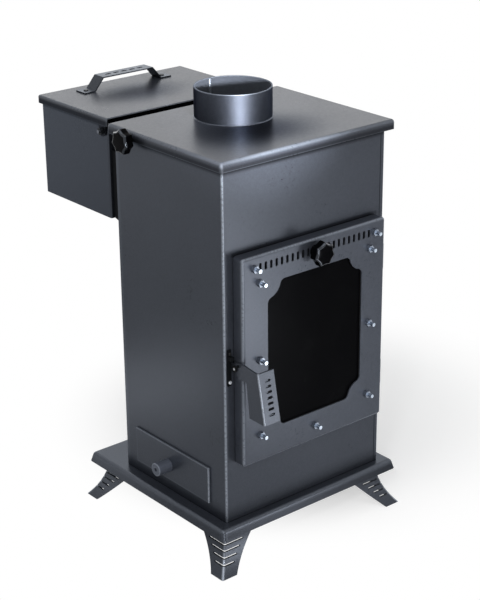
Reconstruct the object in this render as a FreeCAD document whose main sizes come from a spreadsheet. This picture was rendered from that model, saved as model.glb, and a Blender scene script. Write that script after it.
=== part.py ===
import FreeCAD, Part
import os
import re
import Sketcher
from FreeCAD import Placement, Rotation, Vector

# A free-standing pellet stove: a folded sheet body on a plinth with four flared legs, a glazed front
# door, an ash drawer on the left, a flue collar on top and a pellet hopper hung on the back.
# +Z is up, -Y is the front, the origin is on the floor under the middle of the whole stove.

# Driving dimensions in millimetres, angles and counts excepted.
sizes = {
    # Body of folded sheet steel.
    "body_width": 318.0,
    "body_depth": 254.0,
    "body_height": 574.0,
    "body_sheet": 2.0,
    "body_edge": 4.0,
    # Top plate with its rolled lip, and the flue collar on it.
    "top_sheet": 2.0,
    "top_lip": 15.0,
    "top_edge": 5.0,
    "top_side_overhang": 10.0,
    "top_front_overhang": 11.0,
    "top_rear_overhang": 6.0,
    "flue_diameter": 120.0,
    "flue_wall": 2.0,
    "flue_height": 47.0,
    "flue_setback": 40.0,
    # Plinth under the body.
    "plinth_sheet": 2.0,
    "plinth_lip": 16.0,
    "plinth_edge": 7.0,
    "plinth_splay": 4.0,
    "plinth_side_overhang": 20.0,
    "plinth_front_overhang": 15.0,
    "plinth_rear_overhang": 74.0,
    # Legs: two plates folded at a corner and swept outwards to the foot.
    "leg_height": 77.0,
    "leg_flare": 28.0,
    "leg_inset": 19.0,
    "leg_sheet": 2.5,
    "leg_fold": 4.0,
    "leg_top_width": 76.0,
    "leg_foot_width": 26.0,
    "leg_slot_height": 2.4,
    "leg_slot_low": 15.0,
    "leg_slot_pitch": 9.0,
    "leg_slot_margin": 8.0,
    "leg_slots": 4,
    "leg_tab": 42.0,
    "leg_stud_radius": 4.0,
    "leg_stud_length": 18.0,
    "leg_stud_inset": 24.0,
    "leg_nut_across": 13.0,
    "leg_nut_height": 6.5,
    # Firebox: floor, basket, baffle and the angles that carry them.
    "hearth_rise": 90.0,
    "hearth_sheet": 3.0,
    "ledge_size": 14.0,
    "ledge_sheet": 2.0,
    "basket_width": 130.0,
    "basket_depth": 110.0,
    "basket_height": 66.0,
    "basket_sheet": 2.0,
    "basket_setback": 4.0,
    "basket_rim": 8.0,
    "basket_hole_radius": 3.0,
    "basket_floor_columns": 6,
    "basket_floor_rows": 5,
    "basket_hole_pitch": 18.0,
    "basket_air_rise": 38.0,
    "baffle_rise": 424.0,
    "baffle_sheet": 3.0,
    "baffle_depth": 150.0,
    "baffle_front_gap": 38.0,
    "plate_gap": 0.5,
    # Pellet way: chute in the body, throat in the neck, hopper behind.
    "chute_width": 94.0,
    "chute_sheet": 2.0,
    "chute_run": 76.0,
    "chute_end_rise": 186.0,
    "mouth_drop": 172.0,
    "mouth_height": 66.0,
    "throat_rise": 26.0,
    "neck_length": 45.0,
    "neck_sheet": 2.0,
    "neck_inset": 5.0,
    "neck_height": 108.0,
    "neck_drop": 14.0,
    "neck_lift": 2.0,
    "neck_bolt_radius": 4.0,
    "neck_bolt_inset": 24.0,
    "neck_bolt_low": 10.0,
    "neck_bolt_spacing": 88.0,
    "neck_bolt_tail": 12.0,
    "neck_head_radius": 7.0,
    "neck_head_height": 5.0,
    "hopper_width": 281.0,
    "hopper_depth": 183.0,
    "hopper_height": 161.0,
    "hopper_sheet": 1.5,
    "hopper_edge": 3.0,
    "hopper_hang": 168.0,
    "hopper_front_relief": 3.0,
    "slide_sheet": 1.5,
    "slide_rise": 104.0,
    # Hopper lid with its pivots and strap handle.
    "lid_sheet": 1.5,
    "lid_lip": 13.0,
    "lid_edge": 3.0,
    "lid_gap": 3.0,
    "lid_front_overhang": 4.0,
    "lid_ear_radius": 9.0,
    "lid_pivot_radius": 3.0,
    "lid_pivot_inset": 9.0,
    "lid_pivot_drop": 20.0,
    "lid_pivot_tail": 8.0,
    "handle_length": 174.0,
    "handle_foot": 21.0,
    "handle_run": 17.0,
    "handle_rise": 20.0,
    "handle_width": 25.0,
    "handle_sheet": 2.0,
    "handle_rear_gap": 25.0,
    "handle_slot_length": 11.0,
    "handle_slot_width": 5.0,
    "handle_slot_pitch": 16.0,
    "handle_slots": 5,
    "handle_screw_radius": 4.0,
    "handle_screw_height": 1.2,
    # Front door: folded pan, window, vents, seal and hinges.
    "door_width": 284.0,
    "door_height": 332.0,
    "door_rise": 98.0,
    "door_stand": 22.0,
    "door_gap": 2.0,
    "door_sheet": 2.0,
    "door_edge": 5.0,
    "opening_width": 204.0,
    "opening_height": 252.0,
    "opening_rise": 136.0,
    "window_width": 188.0,
    "window_height": 236.0,
    "window_rise": 49.0,
    "window_notch": 25.0,
    "window_round": 9.0,
    "glass_lap": 8.0,
    "glass_thickness": 4.0,
    "glass_seal": 2.0,
    "clamp_width": 22.0,
    "clamp_sheet": 2.0,
    "clamp_lap": 6.0,
    "clip_width": 30.0,
    "door_bolt_radius": 3.0,
    "door_bolt_out": 14.0,
    "door_bolt_side": 15.0,
    "door_bolt_end": 4.0,
    "door_bolt_below": 23.0,
    "door_head_radius": 5.0,
    "door_head_height": 3.5,
    "door_nut_across": 10.0,
    "door_nut_height": 5.0,
    "vent_rise": 28.0,
    "vent_pitch": 10.3,
    "vent_count": 10,
    "vent_first": 15.0,
    "vent_width": 4.8,
    "vent_height": 13.0,
    "guide_half": 119.0,
    "guide_slot": 18.0,
    "slider_travel": 5.0,
    "slider_length": 264.0,
    "slider_height": 22.0,
    "slider_sheet": 2.0,
    "seal_frame": 12.0,
    "seal_sheet": 1.5,
    "seal_width": 8.0,
    "seal_depth": 14.2,
    "seal_gap": 0.3,
    "hinge_low": 47.0,
    "hinge_spacing": 195.0,
    "hinge_knuckle": 20.0,
    "hinge_radius": 5.0,
    "hinge_pin_radius": 2.5,
    "hinge_side": 6.5,
    "hinge_stand": 6.0,
    "hinge_leaf": 2.0,
    "hinge_leaf_reach": 9.0,
    "hinge_weld": 0.5,
    # Latch lever on the left of the door and its keeper on the wall.
    "lever_sheet": 2.5,
    "lever_fold": 3.0,
    "lever_gap": 1.5,
    "lever_pivot_rise": 160.0,
    "lever_pivot_depth": 13.0,
    "lever_pivot_radius": 3.0,
    "lever_eye": 8.5,
    "lever_head_radius": 5.0,
    "lever_head_height": 2.0,
    "lever_tail_radius": 4.0,
    "lever_tail_height": 2.0,
    "lever_width": 30.0,
    "lever_top_reach": 38.0,
    "lever_reach": 53.0,
    "lever_grip_depth": 34.0,
    "lever_top_rise": 8.0,
    "lever_drop": 69.0,
    "lever_lug_rise": 12.0,
    "lever_lug_reach": 13.0,
    "lever_lug_drop": 14.0,
    "lever_slot_length": 11.0,
    "lever_slot_width": 4.0,
    "lever_slot_pitch": 8.5,
    "lever_slots": 7,
    "nose_radius": 2.2,
    "nose_rise": 6.0,
    "nose_reach": 7.0,
    "nose_length": 4.5,
    "keeper_width": 6.5,
    "keeper_sheet": 2.0,
    "keeper_height": 58.0,
    "keeper_ear": 9.0,
    "keeper_ear_rise": 13.0,
    "keeper_ear_height": 6.0,
    "keeper_screw_radius": 1.6,
    "keeper_screw_end": 6.0,
    "keeper_screw_head": 2.6,
    "keeper_head_height": 1.6,
    # Ash drawer on the left side.
    "drawer_front_width": 185.0,
    "drawer_front_height": 60.0,
    "drawer_front_rise": 20.0,
    "drawer_front_sheet": 3.0,
    "drawer_setback": 4.0,
    "drawer_lap": 7.0,
    "drawer_clearance": 1.5,
    "drawer_length": 270.0,
    "drawer_sheet": 1.5,
    "drawer_knob_radius": 10.8,
    "drawer_knob_length": 25.0,
    "drawer_knob_hole": 3.0,
    "drawer_knob_hole_depth": 7.0,
    "drawer_knob_edge": 1.0,
    "drawer_knob_setback": 9.0,
    "drawer_knob_drop": 5.0,
    "drawer_screw_radius": 2.5,
    "drawer_screw_length": 10.0,
    "runner_width": 15.0,
    "runner_sheet": 2.0,
    # Flue damper on a shaft across the body, turned by a knob on the left.
    "damper_setback": 78.0,
    "damper_drop": 12.0,
    "damper_shaft_radius": 4.0,
    "damper_width": 100.0,
    "damper_length": 94.0,
    "damper_sheet": 2.0,
    "damper_hub": 3.0,
    "damper_lip_gap": 1.0,
    # Seven-lobed star knobs.
    "knob_radius": 19.5,
    "knob_thickness": 15.5,
    "knob_lobes": 7,
    "knob_scallop": 6.0,
    "knob_scallop_out": 22.5,
    "knob_edge": 2.0,
    "knob_hub_radius": 9.0,
    "knob_hub": 9.0,
    "knob_bore_depth": 6.0,
    # Fits shared by the moving and bolted pieces.
    "running_gap": 0.05,
    "slide_gap": 0.3,
    "bolt_gap": 0.2,
    # How far a cutter reaches past the faces it cuts.
    "cut_past": 1.0,
}

# Places that follow from the driving dimensions.
places = {
    "half_width": "body_width / 2",
    "inner_half": "half_width - body_sheet",
    "plinth_top": "leg_height + plinth_sheet",
    "body_top": "plinth_top + body_height",
    "top_face": "body_top + top_sheet",
    "front_reach": "body_depth / 2 + door_stand + lever_reach",
    "rear_reach": "body_depth / 2 + neck_length + hopper_depth + lid_gap + lid_sheet",
    "stove_y": "(front_reach - rear_reach) / 2",
    "body_front": "stove_y - body_depth / 2",
    "body_back": "stove_y + body_depth / 2",
    "inner_front": "body_front + body_sheet",
    "inner_back": "body_back - body_sheet",
    "flue_y": "stove_y + flue_setback",
    "flue_radius": "flue_diameter / 2",
    "plinth_half": "half_width + plinth_side_overhang",
    "plinth_front": "body_front - plinth_front_overhang",
    "plinth_back": "body_back + plinth_rear_overhang",
    "leg_x": "-plinth_half + leg_inset",
    "leg_y": "plinth_front + leg_inset",
    "leg_radius": "(leg_height ^ 2 + leg_flare ^ 2) / (2 * leg_flare)",
    "hearth_low": "plinth_top + hearth_rise",
    "hearth_top": "hearth_low + hearth_sheet",
    "basket_y": "stove_y + basket_setback",
    "basket_front": "basket_y - basket_depth / 2",
    "basket_back": "basket_y + basket_depth / 2",
    "baffle_low": "plinth_top + baffle_rise",
    "baffle_front": "inner_front + baffle_front_gap",
    "mouth_low": "body_top - mouth_drop",
    "mouth_top": "mouth_low + mouth_height",
    "chute_half": "chute_width / 2",
    "chute_end": "plinth_top + chute_end_rise",
    "chute_slope": "(mouth_low - chute_end) / chute_run",
    "chute_wall": "chute_sheet * sqrt(1 + chute_slope ^ 2)",
    "chute_back": "inner_back - chute_run",
    "chute_front": "chute_back - mouth_height / chute_slope",
    "throat_slope": "throat_rise / neck_length",
    "throat_wall": "chute_sheet * sqrt(1 + throat_slope ^ 2)",
    "hopper_front": "body_back + neck_length",
    "hopper_back": "hopper_front + hopper_depth",
    "hopper_half": "hopper_width / 2",
    "hopper_low": "top_face - hopper_hang",
    "hopper_rim": "hopper_low + hopper_height",
    "neck_half": "hopper_half - neck_inset",
    "neck_low": "hopper_low + neck_lift",
    "neck_bolt_x": "hopper_half - neck_bolt_inset",
    "neck_bolt_z": "hopper_low + neck_bolt_low",
    "slide_low": "mouth_low + throat_rise + throat_wall",
    "lid_under": "hopper_rim + slide_gap",
    "lid_top": "lid_under + lid_sheet",
    "lid_half": "hopper_half + lid_gap + lid_sheet",
    "lid_back": "hopper_back + lid_gap + lid_sheet",
    "pivot_y": "hopper_front + lid_pivot_inset",
    "pivot_z": "hopper_rim - lid_pivot_drop",
    "handle_back": "lid_back - handle_rear_gap",
    "handle_front": "handle_back - handle_width",
    "handle_half": "handle_length / 2",
    "handle_knee": "handle_half - handle_foot",
    "handle_shoulder": "handle_knee - handle_run",
    "handle_mitre": "handle_sheet * (sqrt(handle_run ^ 2 + handle_rise ^ 2) - handle_run) / handle_rise",
    "door_half": "door_width / 2",
    "door_face": "body_front - door_stand",
    "door_back": "body_front - door_gap",
    "door_low": "plinth_top + door_rise",
    "door_top": "door_low + door_height",
    "door_skin": "door_face + door_sheet",
    "window_half": "window_width / 2",
    "window_low": "door_low + window_rise",
    "window_top": "window_low + window_height",
    "glass_half": "window_half + glass_lap",
    "glass_front": "door_skin + glass_seal",
    "glass_back": "glass_front + glass_thickness",
    "clamp_back": "glass_back + clamp_sheet",
    "clamp_inner": "glass_half - clamp_lap",
    "side_bolt_x": "window_half + door_bolt_side",
    "vent_z": "window_top + vent_rise",
    "slider_front": "door_skin + slide_gap",
    "slider_back": "slider_front + slider_sheet",
    "slider_x": "-slider_travel / 2",
    "seal_front": "body_front - seal_gap - seal_depth",
    "hinge_x": "door_half + hinge_side",
    "hinge_y": "body_front - hinge_stand",
    "lever_outer": "-door_half - lever_gap - lever_sheet",
    "lever_inner": "-door_half - lever_gap",
    "lever_y": "door_face + lever_pivot_depth",
    "lever_z": "door_low + lever_pivot_rise",
    "lever_top_y": "door_face - lever_top_reach",
    "lever_low_y": "door_face - lever_reach",
    "lever_top_z": "lever_z + lever_top_rise",
    "lever_low_z": "lever_z - lever_drop",
    "lever_lean": "(lever_reach - lever_top_reach) / (lever_top_rise + lever_drop)",
    "lever_skin": "lever_sheet * sqrt(1 + lever_lean ^ 2)",
    "lever_crest_run": "lever_pivot_depth + lever_top_reach - lever_lug_reach",
    "lever_crest": "(lever_lug_rise - lever_top_rise) / lever_crest_run",
    "keeper_right": "lever_outer - lever_gap",
    "keeper_left": "keeper_right - keeper_width",
    "keeper_front": "body_front - keeper_sheet",
    "keeper_low": "lever_z - keeper_height / 2",
    "keeper_high": "lever_z + keeper_height / 2",
    "drawer_y": "stove_y + drawer_setback",
    "drawer_front_low": "plinth_top + drawer_front_rise",
    "drawer_front_top": "drawer_front_low + drawer_front_height",
    "drawer_gate_half": "drawer_front_width / 2 - drawer_lap",
    "drawer_gate_low": "drawer_front_low + drawer_lap",
    "drawer_gate_top": "drawer_front_top - drawer_lap",
    "drawer_half": "drawer_gate_half - drawer_clearance",
    "drawer_low": "drawer_gate_low + drawer_clearance",
    "drawer_top": "drawer_gate_top - drawer_clearance",
    "drawer_panel_inner": "-half_width - slide_gap",
    "drawer_panel_outer": "drawer_panel_inner - drawer_front_sheet",
    "drawer_knob_y": "drawer_y + drawer_knob_setback",
    "drawer_knob_z": "(drawer_front_low + drawer_front_top) / 2 - drawer_knob_drop",
    "damper_y": "stove_y + damper_setback",
    "damper_z": "body_top - damper_drop",
    "damper_knob_x": "-half_width - top_side_overhang - slide_gap - damper_hub",
}

doc = FreeCAD.newDocument("PelletStove")
sheet = doc.addObject("Spreadsheet::Sheet", "Dims")
for row, (alias, size) in enumerate(sizes.items(), 1):
    sheet.set(f"A{row}", alias)
    sheet.set(f"B{row}", str(size))
    sheet.setAlias(f"B{row}", alias)
doc.recompute()

pieces = []

# Two places this close count as the same when edges are picked.
NEAR = 0.01


def formula(text):
    """Spell out sizes and places as cells of the sheet."""

    def spell(match):
        word = match.group()
        if word in sizes:
            return f"Dims.{word}"
        if word in places:
            return f"({formula(places[word])})"
        return word

    return re.sub(r"[a-z][a-z0-9_]*", spell, text)


def number(text):
    return float(sheet.evalExpression(formula(text)))


def count(alias):
    return int(sheet.get(alias))


def bind(item, name, text):
    item.setExpression(name, formula(text))


def piece(item):
    """Mark a finished object as one of the stove's separate pieces."""
    pieces.append(item)
    return item


def block(name, x, y, z):
    """A box; each pair gives its low and high side."""
    box = doc.addObject("Part::Box", name)
    for side, axis, (low, high) in zip(("Length", "Width", "Height"), "xyz", (x, y, z)):
        bind(box, side, f"({high}) - ({low})")
        bind(box, f"Placement.Base.{axis}", low)
    return box


AXIS_TURN = {
    "x": Rotation(Vector(0, 1, 0), 90),
    "y": Rotation(Vector(1, 0, 0), -90),
    "z": Rotation(),
}


def along(item, axis, span, centre):
    """Lay an upright primitive along an axis, at a centre given on the other two axes in order."""
    item.Placement = Placement(Vector(), AXIS_TURN[axis])
    low, high = span
    bind(item, "Height", f"({high}) - ({low})")
    bind(item, f"Placement.Base.{axis}", low)
    for other, text in zip("xyz".replace(axis, ""), centre):
        bind(item, f"Placement.Base.{other}", text)
    return item


def rod(name, axis, radius, span, centre):
    bar = doc.addObject("Part::Cylinder", name)
    bind(bar, "Radius", radius)
    return along(bar, axis, span, centre)


def cut(name, base, *tools):
    result = doc.addObject("Part::Cut", name)
    result.Base = base
    result.Tool = tools[0] if len(tools) == 1 else join(f"{name}_cutters", *tools)
    return result


def join(name, *solids):
    result = doc.addObject("Part::MultiFuse", name)
    result.Shapes = list(solids)
    result.Refine = True
    return result


def group(name, *solids):
    result = doc.addObject("Part::Compound", name)
    result.Links = list(solids)
    return result


def mirror(name, source, axis, at="0"):
    """A copy of the source, mirrored across the plane square to the axis."""
    copy = doc.addObject("Part::Mirroring", name)
    copy.Source = source
    copy.Normal = {"x": Vector(1, 0, 0), "y": Vector(0, 1, 0), "z": Vector(0, 0, 1)}[axis]
    bind(copy, f"Base.{axis}", at)
    return copy


def rounded(name, base, radius, wanted):
    """Round the edges of the base that the test picks."""
    doc.recompute()
    size = number(radius)
    fillet = doc.addObject("Part::Fillet", name)
    fillet.Base = base
    fillet.Edges = [(index, size, size) for index, edge in enumerate(base.Shape.Edges, 1) if wanted(edge)]
    return fillet


def tray(name, x, y, z, sheet_size, radius, open_side):
    """Sheet folded up on four sides of a flat, with rounded folds and one open side."""
    axis = open_side[1]
    rising = open_side[0] == "+"
    spans = {"x": x, "y": y, "z": z}
    inner = {key: (f"{low} + {sheet_size}", f"{high} - {sheet_size}") for key, (low, high) in spans.items()}
    low, high = spans[axis]
    if rising:
        inner[axis] = (inner[axis][0], f"{high} + {sheet_size}")
    else:
        inner[axis] = (f"{low} - {sheet_size}", inner[axis][1])

    def off_the_open_face(edge):
        box = edge.BoundBox
        bounds = {"x": (box.XMin, box.XMax), "y": (box.YMin, box.YMax), "z": (box.ZMin, box.ZMax)}[axis]
        return bounds[0] < face - NEAR if rising else bounds[1] > face + NEAR

    shells = []
    for part, sides, size in (("outer", spans, radius), ("inner", inner, f"{radius} - {sheet_size}")):
        face = number(sides[axis][1] if rising else sides[axis][0])
        blank = block(f"{name}_{part}_blank", sides["x"], sides["y"], sides["z"])
        shells.append(rounded(f"{name}_{part}", blank, size, off_the_open_face))
    return shells


def outline(name, plane, corners, span):
    """A straight-sided outline on a plane, padded across it between two places."""
    body = doc.addObject("PartDesign::Body", name)
    sketch = body.newObject("Sketcher::SketchObject", f"{name}_sketch")
    support = next(item for item in body.Origin.OriginFeatures if item.Role == f"{plane}_Plane")
    sketch.AttachmentSupport = [(support, "")]
    sketch.MapMode = "FlatFace"
    low, high = span
    bind(sketch, "AttachmentOffset.Base.z", f"-({high})" if plane == "XZ" else low)
    points = [Vector(number(across), number(up), 0) for across, up in corners]
    for start, end in zip(points, points[1:] + points[:1]):
        sketch.addGeometry(Part.LineSegment(start, end), False)
    for line in range(len(points)):
        sketch.addConstraint(Sketcher.Constraint("Coincident", line, 2, (line + 1) % len(points), 1))
    for line, (across, up) in enumerate(corners):
        for kind, text in (("DistanceX", across), ("DistanceY", up)):
            place = sketch.addConstraint(Sketcher.Constraint(kind, -1, 1, line, 1, number(text)))
            bind(sketch, f"Constraints[{place}]", text)
    pad = body.newObject("PartDesign::Pad", f"{name}_pad")
    pad.Profile = sketch
    bind(pad, "Length", f"({high}) - ({low})")
    return body


def hex_nut(name, axis, across, bore, span, centre):
    """A plain hexagon nut; the bore is a bare hole."""
    blank = doc.addObject("Part::Prism", f"{name}_blank")
    blank.Polygon = 6
    bind(blank, "Circumradius", f"{across} / sqrt(3)")
    along(blank, axis, span, centre)
    low, high = span
    hole = rod(f"{name}_hole", axis, bore, (f"{low} - cut_past", f"{high} + cut_past"), centre)
    return cut(name, blank, hole)


def slot(name, x, y, z, long_axis):
    """A round-ended slot across the sheet: the long axis is x or z, the ends are half circles."""
    (x_low, x_high), (z_low, z_high) = x, z
    if long_axis == "z":
        radius = f"(({x_high}) - ({x_low})) / 2"
        middle = f"(({x_low}) + ({x_high})) / 2"
        z_ends = (f"({z_low}) + {radius}", f"({z_high}) - {radius}")
        bar = block(f"{name}_bar", x, y, z_ends)
        ends = [(middle, z_end) for z_end in z_ends]
    else:
        radius = f"(({z_high}) - ({z_low})) / 2"
        middle = f"(({z_low}) + ({z_high})) / 2"
        x_ends = (f"({x_low}) + {radius}", f"({x_high}) - {radius}")
        bar = block(f"{name}_bar", x_ends, y, z)
        ends = [(x_end, middle) for x_end in x_ends]
    rounds = [rod(f"{name}_end_{index}", "y", radius, y, end) for index, end in enumerate(ends)]
    return join(name, bar, *rounds)


# Plinth: a shallow tray of folded sheet, turned upside down, reaching back under the hopper.
# Its lips splay outwards to the open underside.
def plinth_skin(name, inset, low, radius):
    """One skin of the plinth: a block that widens downwards, its folds and top edges rounded."""
    blank = doc.addObject("Part::Wedge", f"{name}_blank")
    blank.Placement = Placement(Vector(), Rotation(Vector(1, 0, 0), 90))
    sides = {
        "Xmin": f"-plinth_half - plinth_splay + {inset}",
        "Xmax": f"plinth_half + plinth_splay - {inset}",
        "Zmin": f"-plinth_back - plinth_splay + {inset}",
        "Zmax": f"-plinth_front + plinth_splay - {inset}",
        "X2min": f"-plinth_half + {inset}",
        "X2max": f"plinth_half - {inset}",
        "Z2min": f"-plinth_back + {inset}",
        "Z2max": f"-plinth_front - {inset}",
        "Ymin": low,
        "Ymax": f"plinth_top - {inset}",
    }
    for side, text in sides.items():
        bind(blank, side, text)
    underside = number(low)
    return rounded(name, blank, radius, lambda edge: edge.BoundBox.ZMax > underside + NEAR)


plinth_low = "plinth_top - plinth_lip"
plinth_outer = plinth_skin("plinth_outer", "0", plinth_low, "plinth_edge")
plinth_inner = plinth_skin("plinth_inner", "plinth_sheet", f"{plinth_low} - cut_past",
                           "plinth_edge - plinth_sheet")
piece(cut("base_plinth", plinth_outer, plinth_inner))

# Legs: the outer skin lies outside two round bars that sweep it outwards, one for each plate.
# The front left leg is built in place, the other three are its mirror images.
leg_ends = ("leg_x - leg_flare - leg_inset", "leg_x + leg_top_width")
leg_sides = ("leg_y - leg_flare - leg_inset", "leg_y + leg_top_width")


def leg_skin(name, growth, fold):
    """What lies inside the swept skin, with the corner fold rounded."""
    blank = block(f"{name}_blank", leg_ends, leg_sides, ("0", "leg_height"))
    side_bar = rod(f"{name}_side_bar", "y", f"leg_radius + {growth}", leg_sides,
                   ("leg_x - leg_radius", "leg_height"))
    front_bar = rod(f"{name}_front_bar", "x", f"leg_radius + {growth}", leg_ends,
                    ("leg_y - leg_radius", "leg_height"))
    corner = cut(f"{name}_corner", blank, side_bar, front_bar)
    corner_x = number(f"leg_x + {growth}")
    corner_y = number(f"leg_y + {growth}")

    def along_the_fold(edge):
        top = max(edge.Vertexes, key=lambda vertex: vertex.Z)
        height = edge.BoundBox.ZLength
        return height > NEAR and abs(top.X - corner_x) < NEAR and abs(top.Y - corner_y) < NEAR

    return rounded(name, corner, fold, along_the_fold)


leg_outer = leg_skin("leg_outer", "0", "leg_fold")
leg_inner = leg_skin("leg_inner", "leg_sheet", "leg_fold - leg_sheet")
leg_shell = cut("leg_shell", leg_outer, leg_inner)
leg_tab = block("leg_tab_plate", ("leg_x + leg_fold", "leg_x + leg_tab"),
                ("leg_y + leg_fold", "leg_y + leg_tab"),
                ("leg_height - leg_sheet", "leg_height"))
leg_tab_side = block("leg_tab_side", ("leg_x + leg_sheet / 2", "leg_x + leg_fold"),
                     ("leg_y + leg_fold", "leg_y + leg_tab"), ("leg_height - leg_sheet", "leg_height"))
leg_tab_front = block("leg_tab_front", ("leg_x + leg_fold", "leg_x + leg_tab"),
                      ("leg_y + leg_sheet / 2", "leg_y + leg_fold"),
                      ("leg_height - leg_sheet", "leg_height"))
leg_blank = join("leg_blank", leg_shell, leg_tab, leg_tab_side, leg_tab_front)
leg_cutters = []
for plane, corner, span in (("XZ", "leg_x", leg_sides), ("YZ", "leg_y", leg_ends)):
    free_edge = [
        (f"{corner} + leg_top_width", "leg_height - leg_sheet"),
        (f"{corner} - leg_flare + leg_foot_width", "-leg_sheet"),
        (f"{corner} + 2 * leg_top_width", "-leg_sheet"),
        (f"{corner} + 2 * leg_top_width", "leg_height - leg_sheet"),
    ]
    leg_cutters.append(outline(f"leg_taper_{plane}", plane, free_edge, span))
foot_reach = "leg_foot_width - leg_flare"
for index in range(count("leg_slots")):
    low = f"leg_slot_low + {index} * leg_slot_pitch"
    taper = f"({foot_reach} + ({low}) / leg_height * (leg_top_width - ({foot_reach})))"
    rows = (low, f"{low} + leg_slot_height")
    for plate, corner in (("front", "leg_x"), ("side", "leg_y")):
        reach = (f"{corner} - leg_flare - leg_inset", f"{corner} + {taper} - leg_slot_margin")
        through = {"front": ("leg_y - leg_flare", "leg_y + leg_sheet * 2"),
                   "side": ("leg_x - leg_flare", "leg_x + leg_sheet * 2")}[plate]
        x, y = (reach, through) if plate == "front" else (through, reach)
        leg_cutters.append(block(f"leg_slot_{plate}_{index}", x, y, rows))
leg_stud_places = [(f"{side} * (-leg_x - leg_stud_inset)", row)
                   for row in ("leg_y + leg_stud_inset",
                               "plinth_front + plinth_back - leg_y - leg_stud_inset")
                   for side in ("-1", "1")]
leg_cutters.append(rod("leg_stud_hole", "z", "leg_stud_radius + bolt_gap",
                       ("leg_height - leg_sheet * 2", "leg_height + cut_past"),
                       leg_stud_places[0]))
leg = piece(cut("leg_front_left", leg_blank, *leg_cutters))
right_leg = piece(mirror("leg_front_right", leg, "x"))
plinth_middle = "(plinth_front + plinth_back) / 2"
piece(mirror("leg_rear_left", leg, "y", plinth_middle))
piece(mirror("leg_rear_right", right_leg, "y", plinth_middle))
leg_studs = [rod(f"leg_stud_{index}", "z", "leg_stud_radius",
                 ("leg_height - leg_stud_length", "leg_height"), place)
             for index, place in enumerate(leg_stud_places)]
piece(group("leg_studs", *leg_studs))
leg_nut_span = ("leg_height - leg_sheet - leg_nut_height", "leg_height - leg_sheet")
leg_nuts = [hex_nut(f"leg_nut_{index}", "z", "leg_nut_across", "leg_stud_radius + running_gap",
                    leg_nut_span, place)
            for index, place in enumerate(leg_stud_places)]
piece(group("leg_nuts", *leg_nuts))

# Body: one sheet folded round the front corners, with the door, drawer and damper openings.
beyond_left = ("-half_width - body_sheet", "-inner_half + body_sheet")


def front_corner(edge):
    box = edge.BoundBox
    return box.ZLength > NEAR and box.YMin < number("stove_y")


wrap_outer = block("wrap_outer_blank", ("-half_width", "half_width"), ("body_front", "body_back"),
                   ("plinth_top", "body_top"))
wrap_inner = block("wrap_inner_blank", ("-inner_half", "inner_half"),
                   ("inner_front", "body_back + body_sheet"),
                   ("plinth_top - body_sheet", "body_top + body_sheet"))
wrap_outer = rounded("wrap_outer", wrap_outer, "body_edge", front_corner)
wrap_inner = rounded("wrap_inner", wrap_inner, "body_edge - body_sheet", front_corner)
opening_z = ("plinth_top + opening_rise", "plinth_top + opening_rise + opening_height")
door_opening = block("door_opening", ("-opening_width / 2", "opening_width / 2"),
                     ("body_front - body_sheet", "inner_front + body_sheet"), opening_z)
drawer_gate = block("drawer_gate", beyond_left,
                    ("drawer_y - drawer_gate_half", "drawer_y + drawer_gate_half"),
                    ("drawer_gate_low", "drawer_gate_top"))
damper_holes = rod("damper_holes", "x", "damper_shaft_radius + running_gap",
                   ("-half_width - body_sheet", "half_width + body_sheet"), ("damper_y", "damper_z"))
keeper_screw_places = [("(keeper_left + keeper_right) / 2", row)
                       for row in ("keeper_low + keeper_screw_end", "keeper_high - keeper_screw_end")]
keeper_holes = [rod(f"keeper_hole_{index}", "y", "keeper_screw_radius + running_gap",
                    ("body_front - 2 * keeper_sheet", "inner_front + body_sheet"), place)
                for index, place in enumerate(keeper_screw_places)]
wrap_shell = cut("wrap_shell", wrap_outer, wrap_inner)
piece(cut("body_wrap", wrap_shell, door_opening, drawer_gate, damper_holes, *keeper_holes))

# Rear panel between the side walls, with the pellet mouth and the hopper's bolt holes.
neck_bolt_places = [(f"{side} * neck_bolt_x", row)
                    for row in ("neck_bolt_z", "neck_bolt_z + neck_bolt_spacing")
                    for side in ("-1", "1")]
rear_blank = block("rear_blank", ("-inner_half", "inner_half"), ("inner_back", "body_back"),
                   ("plinth_top", "body_top"))
rear_mouth = block("rear_mouth", ("-chute_half + chute_sheet", "chute_half - chute_sheet"),
                   ("inner_back - body_sheet", "body_back + body_sheet"),
                   ("mouth_low + chute_wall", "mouth_top - chute_wall"))
rear_holes = [rod(f"rear_hole_{index}", "y", "neck_bolt_radius + bolt_gap",
                  ("inner_back - body_sheet", "body_back + body_sheet"), place)
              for index, place in enumerate(neck_bolt_places)]
piece(cut("rear_panel", rear_blank, rear_mouth, *rear_holes))

# Top plate with its rolled lip, and the flue collar welded round its hole.
top_shells = tray("top_plate", ("-half_width - top_side_overhang", "half_width + top_side_overhang"),
                  ("body_front - top_front_overhang", "body_back + top_rear_overhang"),
                  ("top_face - top_lip", "top_face"), "top_sheet", "top_edge", "-z")
flue_hole = rod("flue_hole", "z", "flue_radius - flue_wall", ("body_top - top_lip", "top_face + cut_past"),
                ("0", "flue_y"))
lip_hole = rod("lip_hole", "x", "damper_shaft_radius + damper_lip_gap",
               ("-half_width - top_side_overhang - cut_past", "-half_width"), ("damper_y", "damper_z"))
piece(cut("top_plate", *top_shells, flue_hole, lip_hole))
flue_span = ("top_face", "top_face + flue_height")
flue_outer = rod("flue_outer", "z", "flue_radius", flue_span, ("0", "flue_y"))
flue_inner = rod("flue_inner", "z", "flue_radius - flue_wall",
                 ("top_face - cut_past", "top_face + flue_height + cut_past"), ("0", "flue_y"))
piece(cut("flue_collar", flue_outer, flue_inner))


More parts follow.
